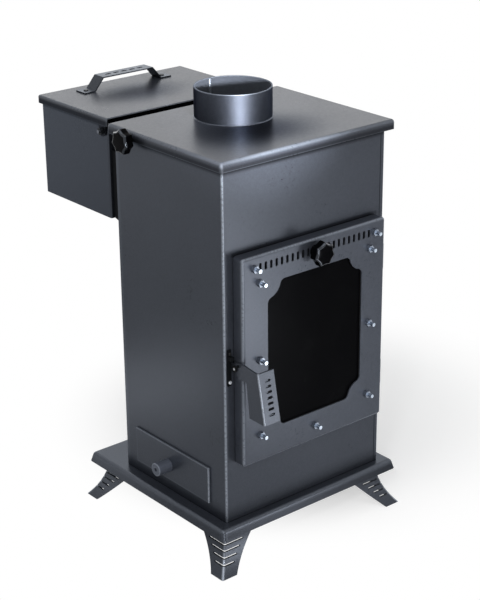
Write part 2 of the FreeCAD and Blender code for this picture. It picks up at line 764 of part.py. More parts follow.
# Firebox floor and baffle, each a loose plate on a pair of angles welded to the side walls.
def ledges(name, y, top):
    """A pair of angles along the side walls, under a plate."""
    foot = block(f"{name}_foot", ("-inner_half", "-inner_half + ledge_size"), y,
                 (f"{top} - ledge_sheet", top))
    web = block(f"{name}_web", ("-inner_half", "-inner_half + ledge_sheet"), y,
                (f"{top} - ledge_size", f"{top} - ledge_sheet"))
    left = join(f"{name}_left", foot, web)
    return group(name, left, mirror(f"{name}_right", left, "x"))


hearth_y = ("inner_front + body_edge", "inner_back - plate_gap")
piece(ledges("hearth_ledges", hearth_y, "hearth_low"))
plate_x = ("-inner_half + plate_gap", "inner_half - plate_gap")
hearth_blank = block("hearth_blank", plate_x, hearth_y, ("hearth_low", "hearth_top"))
ash_hole = block("ash_hole", ("-basket_width / 2 + basket_rim", "basket_width / 2 - basket_rim"),
                 ("basket_front + basket_rim", "basket_back - basket_rim"),
                 ("hearth_low - cut_past", "hearth_top + cut_past"))
piece(cut("hearth_plate", hearth_blank, ash_hole))
baffle_y = ("baffle_front", "baffle_front + baffle_depth")
piece(ledges("baffle_ledges", baffle_y, "baffle_low"))
piece(block("flame_baffle", plate_x, baffle_y, ("baffle_low", "baffle_low + baffle_sheet")))

# Burn basket: an open pot with a holed floor and a row of air holes round its sides.
basket_x = ("-basket_width / 2", "basket_width / 2")
basket_blank = block("basket_blank", basket_x, ("basket_front", "basket_back"),
                     ("hearth_top", "hearth_top + basket_height"))
basket_cutters = [block("basket_inside",
                        ("-basket_width / 2 + basket_sheet", "basket_width / 2 - basket_sheet"),
                        ("basket_front + basket_sheet", "basket_back - basket_sheet"),
                        ("hearth_top + basket_sheet", "hearth_top + basket_height + basket_sheet"))]
for column in range(count("basket_floor_columns")):
    hole_x = f"({column} - (basket_floor_columns - 1) / 2) * basket_hole_pitch"
    for row in range(count("basket_floor_rows")):
        hole_y = f"basket_y + ({row} - (basket_floor_rows - 1) / 2) * basket_hole_pitch"
        basket_cutters.append(rod(f"basket_floor_hole_{column}_{row}", "z", "basket_hole_radius",
                                  ("hearth_top - cut_past", "hearth_top + basket_sheet + cut_past"),
                                  (hole_x, hole_y)))
    basket_cutters.append(rod(f"basket_long_hole_{column}", "y", "basket_hole_radius",
                              ("basket_front - cut_past", "basket_back + cut_past"),
                              (hole_x, "hearth_top + basket_air_rise")))
for row in range(count("basket_floor_rows")):
    hole_y = f"basket_y + ({row} - (basket_floor_rows - 1) / 2) * basket_hole_pitch"
    basket_cutters.append(rod(f"basket_cross_hole_{row}", "x", "basket_hole_radius",
                              ("-basket_width / 2 - cut_past", "basket_width / 2 + cut_past"),
                              (hole_y, "hearth_top + basket_air_rise")))
piece(cut("burn_basket", basket_blank, *basket_cutters))

# Feed chute: a steep duct of sheet from the pellet mouth down to the basket.
chute_outer = outline("chute_outer", "YZ", [
    ("inner_back", "mouth_low"), ("inner_back", "mouth_top"), ("chute_front", "chute_end"),
    ("chute_back", "chute_end"),
], ("-chute_half", "chute_half"))
chute_inner = outline("chute_inner", "YZ", [
    ("inner_back", "mouth_low + chute_wall"),
    ("inner_back", "mouth_top - chute_wall"),
    ("chute_front + chute_wall / chute_slope", "chute_end"),
    ("chute_back - chute_wall / chute_slope", "chute_end"),
], ("-chute_half + chute_sheet", "chute_half - chute_sheet"))
piece(cut("feed_chute", chute_outer, chute_inner))

# Feed throat: the short sloping duct that brings pellets from the hopper to the body.
throat_outer = outline("throat_outer", "YZ", [
    ("body_back", "mouth_low"),
    ("body_back", "mouth_top"),
    ("hopper_front", "mouth_top + throat_rise"),
    ("hopper_front", "mouth_low + throat_rise"),
], ("-chute_half", "chute_half"))
throat_inner = outline("throat_inner", "YZ", [
    ("body_back", "mouth_low + throat_wall"),
    ("body_back", "mouth_top - throat_wall"),
    ("hopper_front", "mouth_top + throat_rise - throat_wall"),
    ("hopper_front", "mouth_low + throat_rise + throat_wall"),
], ("-chute_half + chute_sheet", "chute_half - chute_sheet"))
piece(cut("feed_throat", throat_outer, throat_inner))

# Hopper neck: a wide sheet box round the throat that carries the hopper clear of the hot body.
neck_top = "neck_low + neck_height"
neck_outer = outline("neck_outer", "YZ", [
    ("body_back", "neck_low - neck_drop"), ("body_back", neck_top), ("hopper_front", neck_top),
    ("hopper_front", "neck_low"),
], ("-neck_half", "neck_half"))
neck_inner = outline("neck_inner", "YZ", [
    ("body_back", "neck_low - neck_drop + neck_sheet"),
    ("body_back", f"{neck_top} - neck_sheet"),
    ("hopper_front", f"{neck_top} - neck_sheet"),
    ("hopper_front", "neck_low + neck_sheet"),
], ("-neck_half + neck_sheet", "neck_half - neck_sheet"))
piece(cut("hopper_neck", neck_outer, neck_inner))

# Hopper: an open-topped sheet box; its front rim is a little low to let the lid's edge swing past.


def upright(edge):
    return edge.BoundBox.ZLength > NEAR


hopper_outer = block("hopper_outer_blank", ("-hopper_half", "hopper_half"), ("hopper_front", "hopper_back"),
                     ("hopper_low", "hopper_rim"))
hopper_inner = block("hopper_inner_blank", ("-hopper_half + hopper_sheet", "hopper_half - hopper_sheet"),
                     ("hopper_front + hopper_sheet", "hopper_back - hopper_sheet"),
                     ("hopper_low + hopper_sheet", "hopper_rim + hopper_sheet"))
hopper_outer = rounded("hopper_outer", hopper_outer, "hopper_edge", upright)
hopper_inner = rounded("hopper_inner", hopper_inner, "hopper_edge - hopper_sheet", upright)
hopper_cutters = [
    block("hopper_mouth", ("-chute_half + chute_sheet", "chute_half - chute_sheet"),
          ("hopper_front - hopper_sheet", "hopper_front + 2 * hopper_sheet"),
          ("mouth_low + throat_rise + throat_wall", "mouth_top + throat_rise - throat_wall")),
    block("hopper_relief", ("-lid_half", "lid_half"), ("hopper_front - hopper_sheet", "pivot_y"),
          ("hopper_rim - hopper_front_relief", "hopper_rim + hopper_sheet")),
    rod("lid_pivot_holes", "x", "lid_pivot_radius + running_gap", ("-lid_half", "lid_half"),
        ("pivot_y", "pivot_z")),
]
hopper_cutters += [rod(f"hopper_hole_{index}", "y", "neck_bolt_radius + bolt_gap",
                       ("hopper_front - hopper_sheet", "hopper_front + 2 * hopper_sheet"), place)
                   for index, place in enumerate(neck_bolt_places)]
hopper_box = cut("hopper_box", hopper_outer, hopper_inner)
piece(cut("hopper_shell", hopper_box, *hopper_cutters))

# Sloping floor inside the hopper that sends the pellets to the mouth.
slide_front = "hopper_front + hopper_sheet"
slide_back = "hopper_back - hopper_sheet"
piece(outline("hopper_slide", "YZ", [
    (slide_front, "slide_low - slide_sheet"),
    (slide_front, "slide_low"),
    (slide_back, "slide_low + slide_rise"),
    (slide_back, "slide_low + slide_rise - slide_sheet"),
], ("-hopper_half + hopper_edge", "hopper_half - hopper_edge")))

# Four long bolts draw the hopper and its neck against the rear panel; the nuts are inside the body.
neck_bolts = []
neck_nuts = []
for index, place in enumerate(neck_bolt_places):
    shank = rod(f"neck_shank_{index}", "y", "neck_bolt_radius",
                ("inner_back - neck_bolt_tail", "hopper_front + hopper_sheet"), place)
    head = rod(f"neck_head_{index}", "y", "neck_head_radius",
               ("hopper_front + hopper_sheet", "hopper_front + hopper_sheet + neck_head_height"), place)
    neck_bolts.append(join(f"neck_bolt_{index}", shank, head))
    neck_nuts.append(hex_nut(f"neck_nut_{index}", "y", "leg_nut_across", "neck_bolt_radius + running_gap",
                             ("inner_back - leg_nut_height", "inner_back"), place))
piece(group("neck_bolts", *neck_bolts))
piece(group("neck_nuts", *neck_nuts))

# Hopper lid: folded on three sides, plain along the front, with an ear each side for its pivot.
lid_shells = tray("hopper_lid", ("-lid_half", "lid_half"),
                  ("hopper_front - lid_front_overhang", "lid_back"),
                  ("lid_top - lid_lip", "lid_top"), "lid_sheet", "lid_edge", "-z")
lid_front_lip = block("lid_front_lip", ("-lid_half + lid_sheet", "lid_half - lid_sheet"),
                      ("hopper_front - 2 * lid_front_overhang", "pivot_y"),
                      ("lid_top - 2 * lid_lip", "lid_under"))
lid_pan = cut("lid_pan", *lid_shells, lid_front_lip)
lid_ears = []
for side, (low, high) in (("left", ("-lid_half", "-lid_half + lid_sheet")),
                          ("right", ("lid_half - lid_sheet", "lid_half"))):
    web = block(f"lid_ear_web_{side}", (low, high),
                ("pivot_y - lid_ear_radius", "pivot_y + lid_ear_radius"),
                ("pivot_z", "lid_top - lid_edge"))
    end = rod(f"lid_ear_end_{side}", "x", "lid_ear_radius", (low, high), ("pivot_y", "pivot_z"))
    lid_ears += [web, end]
lid_blank = join("lid_blank", lid_pan, *lid_ears)
lid_bores = rod("lid_bores", "x", "lid_pivot_radius + running_gap", ("-2 * lid_half", "2 * lid_half"),
                ("pivot_y", "pivot_z"))
piece(cut("hopper_lid", lid_blank, lid_bores))

# Lid pivots: a bolt through each hopper wall and ear, with the nut outside.
lid_shank = rod("lid_shank", "x", "lid_pivot_radius",
                ("-lid_half - lid_pivot_tail", "-hopper_half + hopper_sheet"),
                ("pivot_y", "pivot_z"))
lid_head = rod("lid_head", "x", "door_head_radius",
               ("-hopper_half + hopper_sheet", "-hopper_half + hopper_sheet + door_head_height"),
               ("pivot_y", "pivot_z"))
lid_pivot = join("lid_pivot", lid_shank, lid_head)
piece(group("lid_pivots", lid_pivot, mirror("lid_pivot_right", lid_pivot, "x")))
lid_nut = hex_nut("lid_nut", "x", "door_nut_across", "lid_pivot_radius + running_gap",
                  ("-lid_half - slide_gap - door_nut_height", "-lid_half - slide_gap"),
                  ("pivot_y", "pivot_z"))
piece(group("lid_pivot_nuts", lid_nut, mirror("lid_nut_right", lid_nut, "x")))

# Lid handle: a flat strap bent up between two feet, with plain slots along its top.
handle_deck = "lid_top + handle_rise"
handle_right = [
    ("handle_half", "lid_top"),
    ("handle_half", "lid_top + handle_sheet"),
    ("handle_knee + handle_mitre", "lid_top + handle_sheet"),
    ("handle_shoulder + handle_mitre", f"{handle_deck} + handle_sheet"),
]
handle_under = [("handle_shoulder", handle_deck), ("handle_knee", "lid_top")]
handle_left = [(f"-({across})", up) for across, up in reversed(handle_right)]
handle_under_left = [(f"-({across})", up) for across, up in reversed(handle_under)]
handle_span = ("handle_front", "handle_back")
handle_blank = outline("handle_blank", "XZ", handle_right + handle_left + handle_under_left + handle_under,
                       handle_span)
handle_y = "(handle_front + handle_back) / 2"
handle_cutters = []
for index in range(count("handle_slots")):
    middle = f"({index} - (handle_slots - 1) / 2) * handle_slot_pitch"
    half = "(handle_slot_length - handle_slot_width) / 2"
    sides = (f"{handle_y} - handle_slot_width / 2", f"{handle_y} + handle_slot_width / 2")
    through = (f"{handle_deck} - cut_past", f"{handle_deck} + handle_sheet + cut_past")
    handle_cutters.append(block(f"handle_slot_{index}", (f"{middle} - {half}", f"{middle} + {half}"), sides,
                                through))
    handle_cutters += [rod(f"handle_slot_end_{index}_{end}", "z", "handle_slot_width / 2", through,
                           (f"{middle} {end} {half}", handle_y)) for end in "+-"]
piece(cut("lid_handle", handle_blank, *handle_cutters))
handle_screw = rod("handle_screw", "z", "handle_screw_radius",
                   ("lid_top + handle_sheet", "lid_top + handle_sheet + handle_screw_height"),
                   ("-handle_half + handle_foot / 2", handle_y))
piece(group("handle_screws", handle_screw, mirror("handle_screw_right", handle_screw, "x")))

# Door panel: a deep pan open to the stove, with the window, the air vents and the bolt holes.
through_skin = ("door_face - door_sheet", "door_skin + slide_gap")
window_frame = block("window_frame", ("-window_half", "window_half"), through_skin,
                     ("window_low", "window_top"))
window_corners = [rod(f"window_notch_{side}_{row}", "y", "window_notch", through_skin,
                      (f"{side} * window_half", row))
                  for side in ("-1", "1") for row in ("window_low", "window_top")]
window_scallops = cut("window_scallops", window_frame, *window_corners)
window = rounded("window", window_scallops, "window_round", lambda edge: edge.BoundBox.YLength > NEAR)


def vent_row(name, y, growth):
    """The two runs of air vents, either side of the knob."""
    height = (f"vent_z - vent_height / 2 - {growth}", f"vent_z + vent_height / 2 + {growth}")
    vents = []
    for side in (-1, 1):
        for index in range(count("vent_count")):
            middle = f"{side} * (vent_first + {index} * vent_pitch)"
            width = (f"{middle} - vent_width / 2 - {growth}", f"{middle} + vent_width / 2 + {growth}")
            vents.append(slot(f"{name}_{len(vents)}", width, y, height, "z"))
    return vents


guide_rows = ("vent_z - door_bolt_radius - bolt_gap", "vent_z + door_bolt_radius + bolt_gap")
stem_slot = slot("stem_slot", ("-guide_slot / 2", "guide_slot / 2"), through_skin, guide_rows, "x")
clamp_bolt_places = [(f"{side} * side_bolt_x", row)
                     for row in ("window_top + door_bolt_end", "(window_low + window_top) / 2",
                                 "window_low - door_bolt_end")
                     for side in ("-1", "1")]
clamp_bolt_places.append(("0", "window_low - door_bolt_below"))
guide_bolt_places = [("-guide_half", "vent_z"), ("guide_half", "vent_z")]
skin_holes = [rod(f"skin_hole_{index}", "y", "door_bolt_radius + bolt_gap", through_skin, place)
              for index, place in enumerate(clamp_bolt_places + guide_bolt_places)]
latch_hole = rod("latch_hole", "x", "lever_pivot_radius + bolt_gap",
                 ("-door_half - door_sheet", "-door_half + 2 * door_sheet"),
                 ("lever_y", "lever_z"))
door_shells = tray("door_panel", ("-door_half", "door_half"), ("door_face", "door_back"),
                   ("door_low", "door_top"),
                   "door_sheet", "door_edge", "+y")
piece(cut("door_panel", *door_shells, window, stem_slot, latch_hole, *skin_holes,
          *vent_row("vent", through_skin, "0")))

# Ceramic glass behind the window, its flat seal, and the strips and clip that press it home.
glass_x = ("-glass_half", "glass_half")
glass_z = ("window_low - glass_lap", "window_top + glass_lap")
piece(block("door_glass", glass_x, ("glass_front", "glass_back"), glass_z))
glass_seal_blank = block("glass_seal_blank", glass_x, ("door_skin", "glass_front"), glass_z)
glass_seal_hole = block("glass_seal_hole", ("-window_half", "window_half"),
                        ("door_skin - cut_past", "glass_front + cut_past"),
                        ("window_low", "window_top"))
piece(cut("glass_gasket", glass_seal_blank, glass_seal_hole))
clamp_y = ("glass_back", "clamp_back")
clamp_blanks = [block(f"clamp_blank_{side}", (f"{low}", f"{high}"), clamp_y, glass_z)
                for side, low, high in (("left", "-clamp_inner - clamp_width", "-clamp_inner"),
                                        ("right", "clamp_inner", "clamp_inner + clamp_width"))]
clamp_blanks.append(block("clip_blank", ("-clip_width / 2", "clip_width / 2"), clamp_y,
                          ("window_low - door_bolt_below - glass_lap",
                           "window_low - glass_lap + clamp_lap")))
clamp_holes = [rod(f"clamp_hole_{index}", "y", "door_bolt_radius + bolt_gap",
                   ("glass_back - cut_past", "clamp_back + cut_past"), place)
               for index, place in enumerate(clamp_bolt_places)]
clamps = [cut("clamp_left", clamp_blanks[0], *clamp_holes[0:6:2]),
          cut("clamp_right", clamp_blanks[1], *clamp_holes[1:6:2]),
          cut("clamp_clip", clamp_blanks[2], clamp_holes[6])]
piece(group("glass_clamps", *clamps))


# Zinc bolts pushed through from inside the door, with their nuts on the outside.
def door_bolts(name, seat, bolt_places):
    bolts = []
    for index, place in enumerate(bolt_places):
        shank = rod(f"{name}_shank_{index}", "y", "door_bolt_radius", ("door_face - door_bolt_out", seat),
                    place)
        head = rod(f"{name}_head_{index}", "y", "door_head_radius", (seat, f"{seat} + door_head_height"),
                   place)
        bolts.append(join(f"{name}_{index}", shank, head))
    return group(name, *bolts)


piece(door_bolts("clamp_bolts", "clamp_back", clamp_bolt_places))
piece(door_bolts("guide_bolts", "slider_back + slide_gap", guide_bolt_places))
door_nuts = [hex_nut(f"door_nut_{index}", "y", "door_nut_across", "door_bolt_radius + running_gap",
                     ("door_face - door_nut_height", "door_face"), place)
             for index, place in enumerate(clamp_bolt_places + guide_bolt_places)]
piece(group("door_nuts", *door_nuts))

# Air slider behind the vents: it opens and shuts them as its knob is pushed along the stem slot.
slider_blank = block("slider_blank", ("-slider_length / 2", "slider_length / 2"),
                     ("slider_front", "slider_back"),
                     ("vent_z - slider_height / 2", "vent_z + slider_height / 2"))
past_slider = ("slider_front - cut_past", "slider_back + cut_past")
guide_slots = [slot(f"guide_slot_{index}",
                    (f"{middle} - slider_travel - door_bolt_radius - bolt_gap",
                     f"{middle} + door_bolt_radius + bolt_gap"),
                    past_slider, guide_rows, "x")
               for index, (middle, row) in enumerate(guide_bolt_places)]
piece(cut("air_slider", slider_blank, *guide_slots, *vent_row("slider_vent", past_slider, "0")))
knob_face = "door_face - slide_gap - knob_hub"
piece(rod("slider_stud", "y", "door_bolt_radius", (f"{knob_face} - knob_bore_depth", "slider_front"),
          ("slider_x", "vent_z")))


# Star knob: a scalloped disc on a round hub, bored from the back for its stem.
def star_knob(name, turn, place, hub_length, bore):
    body = doc.addObject("PartDesign::Body", name)
    plane = next(item for item in body.Origin.OriginFeatures if item.Role == "XY_Plane")

    def circle(suffix, radius, out="0"):
        sketch = body.newObject("Sketcher::SketchObject", f"{name}_{suffix}")
        sketch.AttachmentSupport = [(plane, "")]
        sketch.MapMode = "FlatFace"
        sketch.addGeometry(Part.Circle(Vector(number(out), 0, 0), Vector(0, 0, 1), number(radius)), False)
        sketch.addConstraint(Sketcher.Constraint("PointOnObject", 0, 3, -1))
        across = sketch.addConstraint(Sketcher.Constraint("DistanceX", -1, 1, 0, 3, number(out)))
        bind(sketch, f"Constraints[{across}]", out)
        size = sketch.addConstraint(Sketcher.Constraint("Radius", 0, number(radius)))
        bind(sketch, f"Constraints[{size}]", radius)
        return sketch

    disc = body.newObject("PartDesign::Pad", f"{name}_disc")
    disc.Profile = circle("disc_circle", "knob_radius")
    bind(disc, "Length", "knob_thickness")
    scallop_circle = circle("scallop_circle", "knob_scallop", "knob_scallop_out")
    scallop = body.newObject("PartDesign::Pocket", f"{name}_scallop")
    scallop.Profile = scallop_circle
    scallop.Type = "ThroughAll"
    scallop.SideType = "Symmetric"
    doc.recompute()
    lobes = body.newObject("PartDesign::PolarPattern", f"{name}_lobes")
    lobes.Originals = [scallop]
    lobes.Axis = (scallop_circle, ["N_Axis"])
    lobes.Angle = 360
    bind(lobes, "Occurrences", "knob_lobes")
    body.Tip = lobes
    doc.recompute()
    rim = body.newObject("PartDesign::Fillet", f"{name}_rim")
    thickness = number("knob_thickness")
    edges = [f"Edge{index}" for index, edge in enumerate(lobes.Shape.Edges, 1)
             if edge.BoundBox.ZMin > thickness - NEAR or edge.BoundBox.ZMax < NEAR]
    rim.Base = (lobes, edges)
    bind(rim, "Radius", "knob_edge")
    body.Tip = rim
    hub = body.newObject("PartDesign::Pad", f"{name}_hub")
    hub.Profile = circle("hub_circle", "knob_hub_radius")
    hub.Reversed = True
    bind(hub, "Length", hub_length)
    hole = body.newObject("PartDesign::Pocket", f"{name}_bore")
    hole.Profile = circle("bore_circle", bore)
    hole.SideType = "Two sides"
    bind(hole, "Length", f"{hub_length} + cut_past")
    bind(hole, "Length2", "knob_bore_depth")
    body.Tip = hole
    body.Placement = Placement(Vector(), turn)
    for axis, text in zip("xyz", place):
        bind(body, f"Placement.Base.{axis}", text)
    return body


piece(star_knob("slider_knob", Rotation(Vector(1, 0, 0), 90), ("slider_x", knob_face, "vent_z"),
                "knob_hub", "door_bolt_radius + running_gap"))


# Door seal: a frame welded inside the pan and the fibre rope it holds against the front wall.
def ring(name, y, outer, width, corner=None):
    """A flat rectangular ring inside the pan, a given step in from the pan's outer faces."""
    step = f"({outer})"
    inner = f"({outer} + {width})"
    blank = block(f"{name}_blank", (f"-door_half + {step}", f"door_half - {step}"), y,
                  (f"door_low + {step}", f"door_top - {step}"))
    hole = block(f"{name}_hole", (f"-door_half + {inner}", f"door_half - {inner}"),
                 (f"{y[0]} - cut_past", f"{y[1]} + cut_past"),
                 (f"door_low + {inner}", f"door_top - {inner}"))
    if corner:
        blank = rounded(f"{name}_rounded", blank, corner, lambda edge: edge.BoundBox.YLength > NEAR)
    return cut(name, blank, hole)


piece(ring("gasket_frame", ("seal_front - seal_sheet", "seal_front"), "door_sheet",
           "seal_frame - door_sheet",
           "door_edge - door_sheet"))
piece(ring("door_gasket", ("seal_front", "body_front - seal_gap"), "seal_frame - seal_width", "seal_width"))

# Hinges on the right: pins stand in the fixed knuckles and the door's knuckles drop over them.
body_leaves = []
door_leaves = []
hinge_pins = []
for index in range(2):
    foot = f"door_low + hinge_low + {index} * hinge_spacing"
    fixed = (foot, f"{foot} + hinge_knuckle")
    loose = (f"{foot} + hinge_knuckle + slide_gap", f"{foot} + 2 * hinge_knuckle + slide_gap")
    centre = ("hinge_x", "hinge_y")
    knuckle = rod(f"fixed_knuckle_{index}", "z", "hinge_radius", fixed, centre)
    leaf = block(f"fixed_leaf_{index}", ("hinge_x - hinge_radius", "hinge_x + hinge_leaf_reach"),
                 ("body_front - hinge_leaf", "body_front"), fixed)
    bore = rod(f"fixed_bore_{index}", "z", "hinge_pin_radius + running_gap",
               (f"{foot} - cut_past", f"{foot} + hinge_knuckle + cut_past"), centre)
    body_leaves.append(cut(f"body_leaf_{index}", join(f"body_leaf_blank_{index}", knuckle, leaf), bore))
    knuckle = rod(f"loose_knuckle_{index}", "z", "hinge_radius", loose, centre)
    leaf = block(f"loose_leaf_{index}", ("door_half", "hinge_x - hinge_radius + hinge_weld"),
                 ("door_face + door_edge", "door_back"), loose)
    bore = rod(f"loose_bore_{index}", "z", "hinge_pin_radius + running_gap",
               (f"{foot} + hinge_knuckle - cut_past", f"{foot} + 2 * hinge_knuckle + cut_past"), centre)
    door_leaves.append(cut(f"door_leaf_{index}", join(f"door_leaf_blank_{index}", knuckle, leaf), bore))
    hinge_pins.append(rod(f"hinge_pin_{index}", "z", "hinge_pin_radius",
                          (foot, f"{foot} + 2 * hinge_knuckle"), centre))
piece(group("hinge_body_leaves", *body_leaves))
piece(group("hinge_pins", *hinge_pins))
piece(group("hinge_door_leaves", *door_leaves))

# Latch lever: a lug on the door's left edge that turns on its pivot, folded into a grip in front.
lever_side = outline("lever_side", "YZ", [
    ("lever_y", "lever_z + lever_eye"),
    ("lever_y - lever_lug_reach", "lever_z + lever_lug_rise"),
    ("lever_top_y", "lever_top_z"),
    ("lever_low_y", "lever_low_z"),
    ("lever_low_y + lever_grip_depth", "lever_low_z"),
    ("lever_top_y + lever_grip_depth - lever_top_rise", "lever_z - lever_lug_drop"),
    ("lever_y - lever_eye", "lever_z - lever_lug_drop"),
    ("lever_y", "lever_z - lever_eye"),
], ("lever_outer", "lever_inner"))
lever_eye = rod("lever_eye_end", "x", "lever_eye", ("lever_outer", "lever_inner"), ("lever_y", "lever_z"))
lever_front = outline("lever_front", "YZ", [
    ("lever_top_y", "lever_top_z"),
    ("lever_low_y", "lever_low_z"),
    ("lever_low_y + lever_skin", "lever_low_z"),
    ("lever_top_y + lever_skin", "lever_top_z + lever_skin * lever_crest"),
], ("lever_outer", "lever_outer + lever_width"))
lever_blank = join("lever_blank", lever_side, lever_eye, lever_front)
lever_edge = number("lever_outer")
lever_middle = (number("lever_top_y") + number("lever_low_y")) / 2


def lever_fold_edge(edge):
    box = edge.BoundBox
    return box.XMax < lever_edge + NEAR and box.ZLength > 10 and abs(box.Center.y - lever_middle) < 0.1


lever_folded = rounded("lever_folded", lever_blank, "lever_fold", lever_fold_edge)
lever_bore = rod("lever_bore", "x", "lever_pivot_radius + running_gap",
                 ("lever_outer - cut_past", "lever_inner + cut_past"), ("lever_y", "lever_z"))
lever_cutters = [lever_bore]
lever_slot_x = "lever_outer + lever_fold + (lever_width - lever_fold) / 2"
for index in range(count("lever_slots")):
    middle = f"(lever_top_z + lever_low_z) / 2 + ({index} - (lever_slots - 1) / 2) * lever_slot_pitch"
    lever_cutters.append(slot(f"lever_slot_{index}",
                              (f"{lever_slot_x} - lever_slot_length / 2",
                               f"{lever_slot_x} + lever_slot_length / 2"),
                              ("lever_low_y - cut_past", "lever_top_y + lever_skin + cut_past"),
                              (f"{middle} - lever_slot_width / 2", f"{middle} + lever_slot_width / 2"),
                              "x"))
piece(cut("latch_lever", lever_folded, *lever_cutters))

# Latch pivot: a shouldered rivet through the lever and the door's edge, with a head at each end.
latch_centre = ("lever_y", "lever_z")
pivot_parts = [
    rod("latch_pivot_shank", "x", "lever_pivot_radius",
        ("lever_outer - slide_gap", "-door_half + door_sheet"), latch_centre),
    rod("latch_pivot_head", "x", "lever_head_radius",
        ("lever_outer - slide_gap - lever_head_height", "lever_outer - slide_gap"), latch_centre),
    rod("latch_pivot_tail", "x", "lever_tail_radius",
        ("-door_half + door_sheet", "-door_half + door_sheet + lever_tail_height"), latch_centre),
]
piece(join("latch_pivot", *pivot_parts))

# Latch nose on the lug, and the keeper with its ear screwed to the wall beside the door.
piece(rod("latch_nose", "x", "nose_radius", ("lever_outer - nose_length", "lever_outer"),
          ("lever_y - nose_reach", "lever_z + nose_rise")))
keeper_x = ("keeper_left", "keeper_right")
keeper_plate = block("keeper_plate", keeper_x, ("keeper_front", "body_front"),
                     ("keeper_low", "keeper_high"))
keeper_ear = block("keeper_ear", keeper_x, ("body_front - keeper_ear", "body_front"),
                   ("lever_z + keeper_ear_rise", "lever_z + keeper_ear_rise + keeper_ear_height"))
piece(cut("latch_keeper", join("keeper_blank", keeper_plate, keeper_ear), *keeper_holes))
keeper_screws = []
for index, place in enumerate(keeper_screw_places):
    shank = rod(f"keeper_shank_{index}", "y", "keeper_screw_radius", ("keeper_front", "inner_front"), place)
    head = rod(f"keeper_head_{index}", "y", "keeper_screw_head",
               ("keeper_front - keeper_head_height", "keeper_front"), place)
    keeper_screws.append(join(f"keeper_screw_{index}", shank, head))
piece(group("keeper_screws", *keeper_screws))

# Ash drawer: an open tray on two rails, its front panel lapping the opening in the left wall.
tray_x = ("drawer_panel_inner", "drawer_panel_inner + drawer_length")
tray_y = ("drawer_y - drawer_half", "drawer_y + drawer_half")
tray_blank = block("tray_blank", tray_x, tray_y, ("drawer_low", "drawer_top"))
tray_inside = block("tray_inside", (f"{tray_x[0]} + drawer_sheet", f"{tray_x[1]} - drawer_sheet"),
                    (f"{tray_y[0]} + drawer_sheet", f"{tray_y[1]} - drawer_sheet"),
                    ("drawer_low + drawer_sheet", "drawer_top + cut_past"))
piece(cut("drawer_tray", tray_blank, tray_inside))
knob_centre = ("drawer_knob_y", "drawer_knob_z")
panel_blank = block("panel_blank", ("drawer_panel_outer", "drawer_panel_inner"),
                    ("drawer_y - drawer_front_width / 2", "drawer_y + drawer_front_width / 2"),
                    ("drawer_front_low", "drawer_front_top"))
panel_hole = rod("panel_hole", "x", "drawer_screw_radius + bolt_gap",
                 ("drawer_panel_outer - cut_past", "drawer_panel_inner + cut_past"), knob_centre)
piece(cut("drawer_front", panel_blank, panel_hole))
knob_end = "drawer_panel_outer - drawer_knob_length"
knob_blank = rod("drawer_knob_blank", "x", "drawer_knob_radius", (knob_end, "drawer_panel_outer"),
                 knob_centre)
knob_edge_x = number(knob_end)
knob_turned = rounded("drawer_knob_turned", knob_blank, "drawer_knob_edge",
                      lambda edge: edge.BoundBox.XMax < knob_edge_x + NEAR)
knob_drilling = rod("drawer_knob_drilling", "x", "drawer_knob_hole",
                    (f"{knob_end} - cut_past", f"{knob_end} + drawer_knob_hole_depth"), knob_centre)
knob_thread = rod("drawer_knob_thread", "x", "drawer_screw_radius + running_gap",
                  ("drawer_panel_outer - drawer_screw_length - cut_past", "drawer_panel_outer + cut_past"),
                  knob_centre)
piece(cut("drawer_knob", knob_turned, knob_drilling, knob_thread))
piece(rod("drawer_screw", "x", "drawer_screw_radius",
          ("drawer_panel_outer - drawer_screw_length", "drawer_panel_inner"), knob_centre))
runner_x = ("-inner_half + plate_gap", "inner_half - plate_gap")
runner_flat = block("runner_flat", runner_x, (tray_y[0], f"{tray_y[0]} + runner_width"),
                    ("drawer_low - slide_gap - runner_sheet", "drawer_low - slide_gap"))
runner_web = block("runner_web", runner_x, (tray_y[0], f"{tray_y[0]} + runner_sheet"),
                   ("plinth_top", "drawer_low - slide_gap"))
runner = join("runner_front", runner_flat, runner_web)
piece(group("drawer_runners", runner, mirror("runner_back", runner, "y", "drawer_y")))

# Flue damper: a flap under the flue, hung on a shaft through both walls and turned by a star knob.
damper_centre = ("damper_y", "damper_z")
damper_shaft = piece(rod("damper_shaft", "x", "damper_shaft_radius",
                         ("damper_knob_x - knob_bore_depth", "half_width"), damper_centre))
flap_blank = block("flap_blank", ("-damper_width / 2", "damper_width / 2"),
                   ("damper_y - damper_sheet / 2", "damper_y + damper_sheet / 2"),
                   ("damper_z - damper_length", "damper_z"))
piece(cut("damper_flap", flap_blank, damper_shaft))
piece(star_knob("damper_knob", Rotation(Vector(0, 1, 0), -90), ("damper_knob_x", "damper_y", "damper_z"),
                "damper_hub", "damper_shaft_radius + running_gap"))

doc.recompute()
faults = [item.Label for item in doc.Objects if "Invalid" in item.State or "Error" in item.State]
faults += [item.Label for item in pieces if item.Shape.isNull() or not item.Shape.isValid()]
if faults:
    raise RuntimeError(f"failed objects: {faults}")

os.makedirs("parts", exist_ok=True)
for item in pieces:
    item.Shape.exportStep(os.path.join("parts", f"{item.Label}.step"))
    box = item.Shape.BoundBox
    spread = " x ".join(f"{length:.1f}" for length in (box.XLength, box.YLength, box.ZLength))
    print(f"{item.Label}: {len(item.Shape.Solids)} solids, {spread} mm")
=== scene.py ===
import math

import bpy
from mathutils import Matrix, Vector


